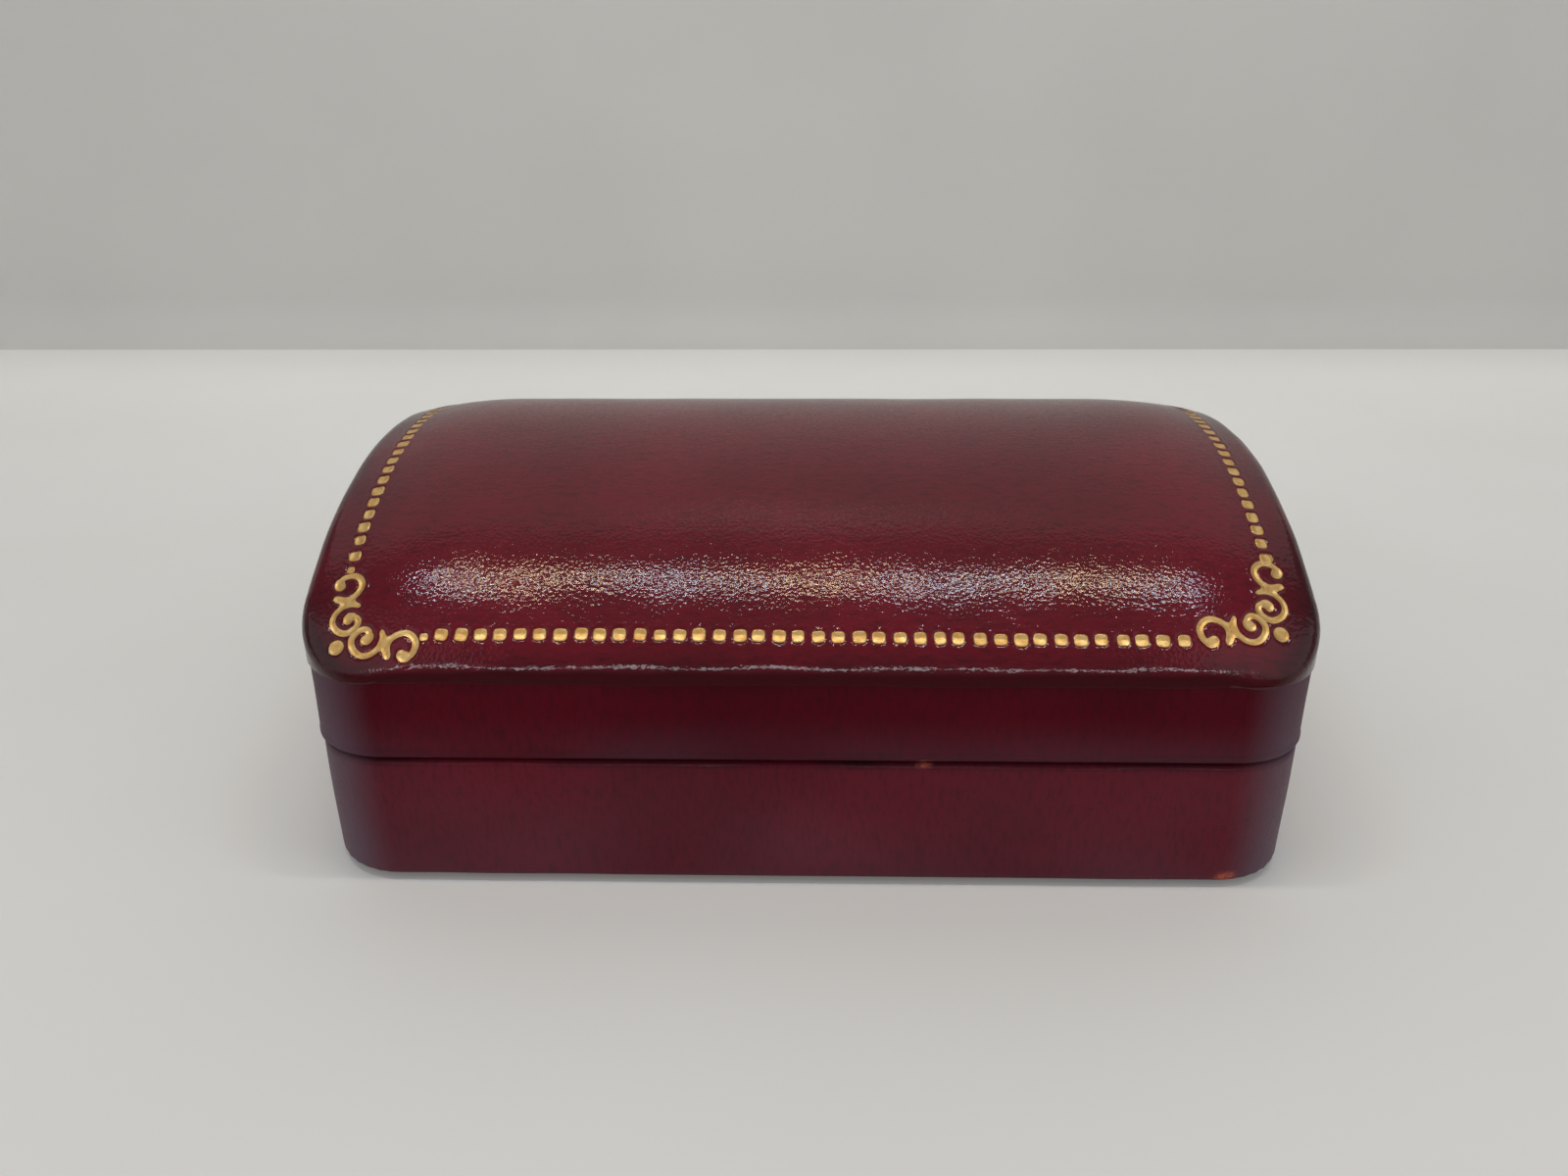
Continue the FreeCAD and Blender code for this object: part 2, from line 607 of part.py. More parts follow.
def corner_prisms():
    """Prisms square to the leather that cut the four corner ornaments from the foil."""
    depth = Vector(0, 0, 1.5 * MARGIN)
    solids = [Part.makeCylinder(number("corner_dot / 2"), depth.z)]
    for swap in (False, True):
        stem, *spikes = [face.extrude(depth) for face in scroll_arm(swap)]
        solids.append(stem.fuse(spikes).Solids[0])
    radius, slope = crown_at(number("side_line"))
    angle = math.asin(number("box_depth / 2 - front_line") / radius)
    prisms = []
    for side in (-1, 1):
        for end in (-1, 1):
            outward = Vector(side * math.sin(slope), end * math.sin(angle) * math.cos(slope),
                             math.cos(angle) * math.cos(slope))
            up_arch = Vector(0, -end * math.cos(angle), math.sin(angle))
            inward = up_arch.cross(outward) * (side * end)
            axes = (inward, up_arch) if side * end > 0 else (up_arch, inward)
            corner = Vector(side * number("box_width / 2 - side_line"), end * radius * math.sin(angle),
                            number("axis_height") + radius * math.cos(angle))
            turn = FreeCAD.Rotation(*axes, outward, "XYZ")
            for solid in solids:
                prism = solid.copy()
                prism.Placement = FreeCAD.Placement(corner - outward * MARGIN, turn)
                prisms.append(prism)
    return prisms


def gold(outside):
    """Gold foil on the leather: the thin skin over the dome, cut into dashes and corner scrolls."""
    raised = dome("foil_outside", "edge_height", "foil_face", "-foil", "edge_round + foil")
    skin = cut_away("foil_skin", raised, outside)
    made = []
    for label, blocks in (("gold_border_dashes", border_tiles()), ("gold_corner_scrolls", corner_prisms())):
        foil = doc.addObject("Part::Feature", label)
        foil.Shape = skin.Shape.common(Part.makeCompound(blocks))
        foil.Label = label
        made.append(foil)
    return made


def hinge_leaf(label, sign, up):
    """Brass leaf: flat plate let into a rim, rolled into every other knuckle round the pin."""
    body = new_body(label)
    barrel = new_sketch(body, label + "_barrel_round", "YZ_Plane")
    add_circle(barrel, "0", "0", "knuckle_radius")
    extrude(body, "Pad", label + "_barrel", barrel, "hinge_length", symmetric=True)
    side = "" if up > 0 else "-"
    near = f"{side}leaf_gap / 2"
    far = f"{side}(leaf_gap / 2 + leaf_thickness)"
    plate = new_sketch(body, label + "_plate_section", "YZ_Plane")
    add_polygon(plate, [("0", near), ("-leaf_width", near), ("-leaf_width", far), ("0", far)])
    extrude(body, "Pad", label + "_plate", plate, "hinge_length", symmetric=True)
    bore = new_sketch(body, label + "_bore_round", "YZ_Plane")
    add_circle(bore, "0", "0", "pin_bore")
    extrude(body, "Pocket", label + "_bore", bore, f"hinge_length + {MARGIN}", symmetric=True)
    notches = new_sketch(body, label + "_notch_plan", "XY_Plane")
    reach = "(knuckle_radius + knuckle_gap)"
    for knuckle in range(KNUCKLES):
        if (knuckle % 2 == 0) == (up > 0):
            left = f"hinge_length * ({knuckle} / {KNUCKLES} - 0.5) - knuckle_gap / 2"
            right = f"hinge_length * ({knuckle + 1} / {KNUCKLES} - 0.5) + knuckle_gap / 2"
            add_polygon(notches, [(left, f"-{reach}"), (right, f"-{reach}"), (right, reach), (left, reach)])
    extrude(body, "Pocket", label + "_notches", notches, f"2 * knuckle_radius + {MARGIN}", symmetric=True)
    holes = new_sketch(body, label + "_hole_plan", "XY_Plane", z=near)
    sinks = new_sketch(body, label + "_sink_plan", "XY_Plane", z=near)
    for step in "-+":
        add_circle(holes, f"{step}nail_spacing / 2", "-nail_setback", "nail_hole")
        add_circle(sinks, f"{step}nail_spacing / 2", "-nail_setback", "nail_head_radius + nail_clearance")
    extrude(body, "Pocket", label + "_holes", holes, f"leaf_thickness + {MARGIN}", towards_plus=up > 0)
    sink = extrude(body, "Pocket", label + "_sinks", sinks, "nail_head", towards_plus=up > 0)
    body.Tip = sink
    body.setExpression("Placement.Base.x", tied(f"{sign}hinge_x"))
    body.setExpression("Placement.Base.y", tied("hinge_y"))
    body.setExpression("Placement.Base.z", tied("seam_height"))
    return body


def hinge_pin(label, sign):
    """Brass pin with a flat head at each end of the barrel."""
    body = new_body(label)
    profile = new_sketch(body, label + "_profile", "XZ_Plane")
    end = "hinge_length / 2 + knuckle_gap / 2"
    tip = f"{end} + pin_head"
    corners = [
        (f"-({tip})", "0"), (tip, "0"), (tip, "pin_head_radius"), (end, "pin_head_radius"),
        (end, "pin_radius"), (f"-({end})", "pin_radius"), (f"-({end})", "pin_head_radius"),
        (f"-({tip})", "pin_head_radius"),
    ]
    add_polygon(profile, corners)
    turned = body.newObject("PartDesign::Revolution", label + "_turned")
    turned.Profile = profile
    turned.ReferenceAxis = (profile, ["H_Axis"])
    turned.Angle = 360.0
    profile.Visibility = False
    doc.recompute()
    body.setExpression("Placement.Base.x", tied(f"{sign}hinge_x"))
    body.setExpression("Placement.Base.y", tied("hinge_y"))
    body.setExpression("Placement.Base.z", tied("seam_height"))
    return body


def nails(label, up):
    """Group of flat-headed brass nails, two through each leaf on one side of the seam."""
    parts = []
    side = "+" if up > 0 else "-"
    for hinge in "-+":
        for step in "-+":
            mark = f"{label}_{len(parts)}"
            shank = doc.addObject("Part::Cylinder", mark + "_shank")
            head = doc.addObject("Part::Cylinder", mark + "_head")
            shank.setExpression("Radius", tied("nail_radius"))
            head.setExpression("Radius", tied("nail_head_radius"))
            shank.setExpression("Height", tied("nail_length - leaf_gap / 2"))
            head.setExpression("Height", tied("nail_head"))
            for solid, length in ((shank, "nail_length - leaf_gap / 2"), (head, "nail_head")):
                foot = "seam_height + leaf_gap / 2" if up > 0 else f"seam_height - leaf_gap / 2 - ({length})"
                solid.setExpression("Placement.Base.x", tied(f"{hinge}hinge_x {step} nail_spacing / 2"))
                solid.setExpression("Placement.Base.y", tied("nail_y"))
                solid.setExpression("Placement.Base.z", tied(foot))
            nail = doc.addObject("Part::Fuse", mark)
            nail.Base = shank
            nail.Tool = head
            parts.append(nail)
    group = doc.addObject("Part::Compound", label)
    group.Links = parts
    group.Label = label
    doc.recompute()
    return group


def hinges():
    """Both hinges: leaves, pins and nails."""
    made = []
    for side, sign in (("left", "-"), ("right", "+")):
        made.append(hinge_leaf(f"hinge_base_leaf_{side}", sign, up=-1))
        made.append(hinge_leaf(f"hinge_lid_leaf_{side}", sign, up=1))
        made.append(hinge_pin(f"hinge_pin_{side}", sign))
    made.append(nails("base_hinge_nails", up=-1))
    made.append(nails("lid_hinge_nails", up=1))
    return made


def check_document(sub_parts):
    """Stop if an object failed, a cut removed nothing or a sub-part has no sound shape."""
    for item in doc.Objects:
        if "Invalid" in item.State or "Error" in item.State:
            raise RuntimeError(f"{item.Label} failed: {item.State}")
        if item.TypeId in ("PartDesign::Pocket", "PartDesign::Groove"):
            if item.Shape.Volume > item.BaseFeature.Shape.Volume - 0.001:
                raise RuntimeError(f"{item.Label} cuts nothing")
    for item in sub_parts:
        if item.Shape.isNull() or not item.Shape.isValid() or not item.Shape.Solids:
            raise RuntimeError(f"{item.Label} has no sound shape")


def main():
    """Build every sub-part and write one file for each."""
    sub_parts = [*base_wall(), *base_slabs(), *lid_wall(), *lid_top(), *hinges()]
    doc.recompute()
    check_document(sub_parts)
    os.makedirs("parts", exist_ok=True)
    for item in sub_parts:
        item.Shape.exportStep(f"parts/{item.Label}.step")
        print(item.Label, len(item.Shape.Solids), round(item.Shape.Volume, 2))


main()
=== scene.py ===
"""Looks of the leather trinket box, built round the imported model.

Lengths are millimetres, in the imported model's own frame, until a mesh is made in metres.
"""

import logging
import math
from dataclasses import dataclass
from enum import Enum
from typing import Optional, Sequence, Union

import bmesh
import bpy
import numpy as np
from mathutils import Matrix


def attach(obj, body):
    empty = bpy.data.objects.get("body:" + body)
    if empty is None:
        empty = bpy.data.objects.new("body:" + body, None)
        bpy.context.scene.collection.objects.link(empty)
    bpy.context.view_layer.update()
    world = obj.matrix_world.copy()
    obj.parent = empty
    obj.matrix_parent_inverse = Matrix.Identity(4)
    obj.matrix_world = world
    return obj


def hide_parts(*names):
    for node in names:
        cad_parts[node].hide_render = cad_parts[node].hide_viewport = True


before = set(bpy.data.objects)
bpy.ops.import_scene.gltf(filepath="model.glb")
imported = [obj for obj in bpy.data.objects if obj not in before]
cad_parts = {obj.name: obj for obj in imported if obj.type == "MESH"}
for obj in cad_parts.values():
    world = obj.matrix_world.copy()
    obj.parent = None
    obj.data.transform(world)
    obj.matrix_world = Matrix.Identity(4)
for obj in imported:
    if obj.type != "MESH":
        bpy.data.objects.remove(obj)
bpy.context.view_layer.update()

Array = np.ndarray
Measure = Union[float, np.ndarray]
MM = 0.001
TINY = 1e-6
log = logging.getLogger("trinket_box")


class Body(Enum):
    """The two bodies that pieces ride on."""

    BASE = "base"
    LID = "lid"


@dataclass(frozen=True)
class BoxSizes:
    """Sizes of the box over its leather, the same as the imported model's.

    The two skins are the insets of the leather's shown faces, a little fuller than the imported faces.
    """

    half_width: float = 55.0
    half_depth: float = 40.5
    corner: float = 9.5
    seam: float = 16.3
    rim_gap: float = 0.4
    edge_height: float = 25.0
    edge_round: float = 2.8
    skirt_radius: float = 52.2
    leather: float = 0.9
    lid_face: float = 0.4
    lid_skin: float = 0.26
    base_face: float = 0.5
    base_skin: float = 0.3
    wall_wood: float = 4.5
    turn_in: float = 3.0
    bottom_panel: float = 0.6
    bottom_round: float = 0.9
    bottom_margin: float = 2.5
    lining: float = 1.0
    glue: float = 0.05
    hinge_x: float = 30.0
    hinge_y: float = 38.5
    hinge_half: float = 12.75
    leaf_half: float = 12.1
    leaf_reach: float = 3.6
    leaf_depth: float = 0.72
    groove: float = 1.55
    bevel_slope: float = 1.192
    stop_gap: float = 0.06

    @property
    def base_rim(self) -> float:
        """Height of the base's rim."""
        return self.seam - self.rim_gap / 2

    @property
    def lid_rim(self) -> float:
        """Height of the lid's rim."""
        return self.seam + self.rim_gap / 2

    @property
    def base_wood(self) -> float:
        """Inset of the base's wooden wall."""
        return self.base_face + self.leather

    @property
    def base_inside(self) -> float:
        """Inset of the inner face of the base's wall."""
        return self.base_wood + self.wall_wood

    @property
    def lid_wood(self) -> float:
        """Inset of the lid's wooden wall."""
        return self.lid_face + self.leather

    @property
    def lid_inside(self) -> float:
        """Inset of the inner face of the lid's wall."""
        return self.lid_wood + self.wall_wood

    @property
    def straight_x(self) -> float:
        """Half the straight run of the front."""
        return self.half_width - self.corner

    @property
    def straight_y(self) -> float:
        """Half the straight run of a side."""
        return self.half_depth - self.corner


SIZES = BoxSizes()


def smooth_step(value: Array, low: Measure, high: Measure) -> Array:
    """Rise smoothly from 0 at low to 1 at high: 3t^2 - 2t^3."""
    share = np.clip((value - low) / (high - low), 0.0, 1.0)
    return share * share * (3.0 - 2.0 * share)


def soft_band(value: Array, centre: Measure, reach: float) -> Array:
    """A soft bump round a centre: exp(-((value - centre) / reach)^2)."""
    return np.exp(-((value - centre) / reach) ** 2)


def waves(points: Array, length: float, seed: int, count: int = 9) -> Array:
    """Smooth seeded unevenness, about -1 to 1: the sum of sine waves in random directions.

    Args:
        points: places, with two or three coordinates in the last axis.
        length: typical wave length.
        seed: seed of the random directions and phases.
        count: number of waves.

    Returns:
        One value for each place.
    """
    rng = np.random.default_rng(seed)
    ways = rng.normal(size=(count, points.shape[-1]))
    ways /= np.linalg.norm(ways, axis=1, keepdims=True)
    ways *= (2 * np.pi / length) * rng.uniform(0.6, 1.5, count)[:, None]
    phases = rng.uniform(0, 2 * np.pi, count)
    return np.sin(points @ ways.T + phases).sum(-1) / math.sqrt(count)


def raised(plan: Array, height: Measure) -> Array:
    """Plan points lifted to a height, one for all or one for each."""
    return np.concatenate([plan, np.broadcast_to(height, plan.shape[:-1])[..., None]], -1)


@dataclass(frozen=True)
class Stations:
    """Places round the box: a point on the core rectangle and the outward direction at each."""

    core: Array
    outward: Array

    @property
    def away(self) -> Array:
        """Outward directions in space, level."""
        return raised(self.outward, 0.0)

    @property
    def turn(self) -> Array:
        """How far each station lies round an upright corner, 0 to 1: 2 |x y| of its direction."""
        return 2 * np.abs(self.outward.prod(1))

    def at(self, inset: Measure) -> Array:
        """Plan points at an inset from the widest outline: core + outward * (radius - inset)."""
        return self.core + self.outward * (SIZES.corner - np.asarray(inset, float))[..., None]

    def corner(self, inset: Measure, height: Measure) -> Array:
        """One corner of a profile, the same at every station unless arrays are given."""
        full = np.zeros(len(self.core))
        return np.stack([full + inset, full + height], 1)

    def lift(self, profile: Array) -> Array:
        """Points of (inset, height) rows carried round the box."""
        return np.concatenate([self.at(profile[..., 0]), profile[..., 1:]], axis=-1)


def walk_round(front: Array, side: Array, corner_steps: int) -> Stations:
    """Stations round the rounded rectangle, from the middle of the front to the right and on.

    One quarter runs along the front, round the corner by equal angles and along the side to its
    middle. Its mirror images are the other three.

    Args:
        front: places along the front from 0 to the start of the corner.
        side: places along the side from the end of the corner to 0.
        corner_steps: steps round the corner.

    Returns:
        The closed ring of stations.
    """
    along, across = SIZES.straight_x, SIZES.straight_y
    turn = np.linspace(0, np.pi / 2, corner_steps + 1)[1:-1]
    core = np.concatenate([
        np.stack([front, np.full_like(front, -across)], 1),
        np.tile([along, -across], (len(turn), 1)),
        np.stack([np.full_like(side, along), -side], 1),
    ])
    outward = np.concatenate([
        np.tile([0.0, -1.0], (len(front), 1)),
        np.stack([np.sin(turn), -np.cos(turn)], 1),
        np.tile([1.0, 0.0], (len(side), 1)),
    ])
    quarters = []
    for flip, backwards in (((1, 1), False), ((1, -1), True), ((-1, -1), False), ((-1, 1), True)):
        order = slice(None, None, -1) if backwards else slice(None)
        quarters.append(((core * flip)[order][:-1], (outward * flip)[order][:-1]))
    cores, outwards = zip(*quarters)
    return Stations(np.concatenate(cores), np.concatenate(outwards))


def wall_stations(front_steps: int = 84, side_steps: int = 56, corner_steps: int = 32) -> Stations:
    """Stations for the wall strips, with a pair of close stations at each end of a hinge seat.

    Args:
        front_steps: stations along half the front.
        side_steps: stations along half a side.
        corner_steps: steps round a corner.

    Returns:
        The closed ring of stations.
    """
    nudge = 0.03
    ends = [SIZES.hinge_x + sign * half for sign in (-1, 1) for half in (SIZES.leaf_half, SIZES.hinge_half)]
    cuts = [end + way for end in ends for way in (-nudge, nudge)]
    front = np.unique(np.append(np.linspace(0, SIZES.straight_x, front_steps), cuts))
    return walk_round(front, np.linspace(SIZES.straight_y, 0, side_steps), corner_steps)


def edge_distance(plan: Array) -> Array:
    """Distance of plan points from the widest outline, positive inside.

    Args:
        plan: (n, 2) points.

    Returns:
        One distance for each point.
    """
    over = np.abs(plan) - (SIZES.straight_x, SIZES.straight_y)
    outside = np.linalg.norm(np.maximum(over, 0), axis=-1)
    return SIZES.corner - outside - np.minimum(over.max(-1), 0)


def stack_rings(rings: Sequence[Array]) -> tuple[Array, list[list[int]]]:
    """Join closed rings of points into one skin.

    Rings of equal count are joined by four-sided faces. Where one ring has a whole number of times
    the points of the next, each of its groups is joined to one step of the coarser ring.

    Args:
        rings: arrays of (n, 3) points, in order along the skin.

    Returns:
        All points, and the faces as lists of point numbers.
    """
    starts = np.cumsum([0] + [len(ring) for ring in rings])
    faces: list[list[int]] = []
    for index in range(len(rings) - 1):
        low, high = len(rings[index]), len(rings[index + 1])
        coarse = min(low, high)
        step = np.arange(coarse)
        edges = []
        for count, start in ((low, starts[index]), (high, starts[index + 1])):
            ratio = count // coarse
            run = (step[:, None] * ratio + np.arange(ratio + 1)) % count
            edges.append(run + start)
        faces += np.concatenate([edges[0], edges[1][:, ::-1]], axis=1).tolist()
    return np.concatenate(rings), faces


def loop_faces(rows: int, columns: int) -> list[list[int]]:
    """Four-sided faces of a grid of points that closes on itself both ways.

    Args:
        rows: rows of the grid.
        columns: points in a row.

    Returns:
        The faces as lists of point numbers.
    """
    row, column = np.meshgrid(np.arange(rows), np.arange(columns), indexing="ij")
    next_row, next_column = (row + 1) % rows, (column + 1) % columns
    corners = [row * columns + column, row * columns + next_column,
               next_row * columns + next_column, next_row * columns + column]
    return np.stack([corner.ravel() for corner in corners], 1).tolist()


def towards(corner: Array, other: Array, reach: float) -> Array:
    """Points at a reach from a corner towards another, less than half of the way at most.

    Args:
        corner: where the way starts, for each station.
        other: where it leads.
        reach: distance along it.

    Returns:
        The points.
    """
    most = 0.48
    way = other - corner
    length = np.linalg.norm(way, axis=-1, keepdims=True)
    return corner + way * np.minimum(reach / np.maximum(length, TINY), most)


def bent_profile(corners: Sequence[Array], rounds: Sequence[float], runs: Sequence[int],
                 bend_steps: int = 4) -> Array:
    """Rows of a closed profile: straight runs, with each corner rounded.

    A rounded corner K is the curve (1-t)^2 A + 2t(1-t) K + t^2 B, between a point A on the run that
    comes in and a point B on the run that goes out, both at the rounding distance from K.

    Args:
        corners: (inset, height) of each corner, an (n, 2) array with one entry for each station.
        rounds: rounding distance of each corner.
        runs: number of steps in the straight run after each corner.
        bend_steps: steps round each corner.

    Returns:
        The rows, as a (rows, n, 2) array.
    """
    share = np.linspace(0, 1, bend_steps + 1)[:, None, None]
    bends = []
    for index, corner in enumerate(corners):
        first = towards(corner, corners[index - 1], rounds[index])
        last = towards(corner, corners[(index + 1) % len(corners)], rounds[index])
        bends.append((1 - share) ** 2 * first + 2 * share * (1 - share) * corner + share ** 2 * last)
    rows = []
    for index, bend in enumerate(bends):
        rows.append(bend)
        following = bends[(index + 1) % len(bends)][0]
        steps = np.linspace(0, 1, runs[index] + 1)[1:-1, None, None]
        rows.append(bend[-1] + (following - bend[-1]) * steps)
    return np.concatenate(rows)


def make_piece(name: str, points: Array, faces: list[list[int]], sharp: float = 40.0) -> bpy.types.Object:
    """Make a smooth mesh object from points in millimetres.

    Args:
        name: the piece's name.
        points: (n, 3) points.
        faces: lists of point numbers, outward side counter-clockwise.
        sharp: edges that bend by more than this many degrees stay crisp.

    Returns:
        The object, at the origin.
    """
    mesh = bpy.data.meshes.new(name)
    mesh.from_pydata((points * MM).tolist(), [], faces)
    piece = bpy.data.objects.new(name, mesh)
    bpy.context.scene.collection.objects.link(piece)
    mesh.polygons.foreach_set("use_smooth", np.ones(len(mesh.polygons), bool))
    mesh.set_sharp_from_angle(angle=math.radians(sharp))
    return piece


def tidy_mesh(piece: bpy.types.Object, turn_outward: bool = False) -> None:
    """Merge the double points of a piece, and turn its faces outwards if asked.

    Args:
        piece: the piece.
        turn_outward: whether its faces are turned.
    """
    double = 1e-4
    made = bmesh.new()
    made.from_mesh(piece.data)
    bmesh.ops.remove_doubles(made, verts=made.verts[:], dist=double * MM)
    if turn_outward:
        bmesh.ops.recalc_face_normals(made, faces=made.faces[:])
    made.to_mesh(piece.data)
    made.free()


def points_of(piece: bpy.types.Object) -> Array:
    """Points of a piece in millimetres.

    Args:
        piece: the piece.

    Returns:
        The points, (n, 3).
    """
    points = np.zeros(len(piece.data.vertices) * 3, np.float32)
    piece.data.vertices.foreach_get("co", points)
    return points.reshape(-1, 3).astype(float) / MM


def put_points(piece: bpy.types.Object, points: Array) -> None:
    """Give a piece changed points, in millimetres."""
    piece.data.vertices.foreach_set("co", (points * MM).astype(np.float32).ravel())
    piece.data.update()


def paint(piece: bpy.types.Object, name: str, values: Array) -> None:
    """Store one number at each point of a piece, for its material to read."""
    layer = piece.data.attributes.new(name, "FLOAT", "POINT")
    layer.data.foreach_set("value", np.clip(values, 0, 1).astype(np.float32))


def settle(piece: bpy.types.Object, body: Body, slot: str, material: bpy.types.Material,
           *nodes: str) -> bpy.types.Object:
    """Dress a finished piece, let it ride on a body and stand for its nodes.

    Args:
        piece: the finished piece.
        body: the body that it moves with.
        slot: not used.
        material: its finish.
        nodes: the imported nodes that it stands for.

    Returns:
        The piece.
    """
    piece.data.materials.append(material)
    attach(piece, body.value)
    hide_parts(*nodes)
    log.info("%s: %d points, rides on %s", piece.name, len(piece.data.vertices), body.value)
    return piece


# Finishes


class Kind(Enum):
    """Kinds of shader nodes that the finishes are made of."""

    PLACE = "ShaderNodeTexCoord"
    TURN = "ShaderNodeMapping"
    NOISE = "ShaderNodeTexNoise"
    CELLS = "ShaderNodeTexVoronoi"
    PAINT = "ShaderNodeAttribute"
    RANGE = "ShaderNodeMapRange"
    MIX = "ShaderNodeMix"
    MATHS = "ShaderNodeMath"
    BUMP = "ShaderNodeBump"
    SURFACE = "ShaderNodeBsdfPrincipled"


# Numbers of sockets: a range's value, its limits and what they become; the two terms of a sum;
# and a colour mix's share, its two colours and its output.
VALUE, LOW, HIGH, LEAST, MOST = range(5)
FIRST, SECOND = range(2)
SHARE, UNDER, OVER, BLEND = 0, 6, 7, 2
COLOURS = {"data_type": "RGBA"}


def hex_linear(code: str) -> tuple[float, float, float, float]:
    """Linear colour of an sRGB hex code.

    Args:
        code: the code, # and six digits.

    Returns:
        Red, green, blue and a full alpha.
    """
    parts = [int(code[start:start + 2], 16) / 255 for start in (1, 3, 5)]
    linear = [part / 12.92 if part <= 0.04045 else ((part + 0.055) / 1.055) ** 2.4 for part in parts]
    return (*linear, 1.0)


def per_mm(size: float) -> float:
    """Texture scale of a pattern whose features are this many millimetres apart."""
    return 1.0 / (size * MM)


class Finish:
    """A node material while it is put together."""

    def __init__(self, name: str) -> None:
        """Start an empty material that reads Object coordinates.

        Args:
            name: the material's name.
        """
        self.material = bpy.data.materials.new(name)
        self.material.use_nodes = True
        self.tree = self.material.node_tree
        self.tree.nodes.clear()
        self.place = self.add(Kind.PLACE, output="Object")

    def add(self, kind: Kind, inputs: Optional[dict] = None, output: Union[int, str] = 0,
            **settings: object) -> bpy.types.NodeSocket:
        """Add a node with its settings and links.

        Args:
            kind: the kind of node.
            inputs: for each socket name or number, a constant or the output that feeds it.
            output: the output that is wanted.
            settings: properties of the node itself.

        Returns:
            The wanted output.
        """
        node = self.tree.nodes.new(kind.value)
        for key, value in settings.items():
            setattr(node, key, value)
        for socket, value in (inputs or {}).items():
            if isinstance(value, bpy.types.NodeSocket):
                self.tree.links.new(value, node.inputs[socket])
            else:
                node.inputs[socket].default_value = value
        return node.outputs[output]

    def close(self, **surface: object) -> bpy.types.Material:
        """End the material in one principled surface.

        Args:
            surface: its inputs, with _ for each space in a socket's name.

        Returns:
            The material.
        """
        shader = self.add(Kind.SURFACE, {name.replace("_", " "): value for name, value in surface.items()})
        end = self.tree.nodes.new("ShaderNodeOutputMaterial")
        self.tree.links.new(shader, end.inputs["Surface"])
        return self.material


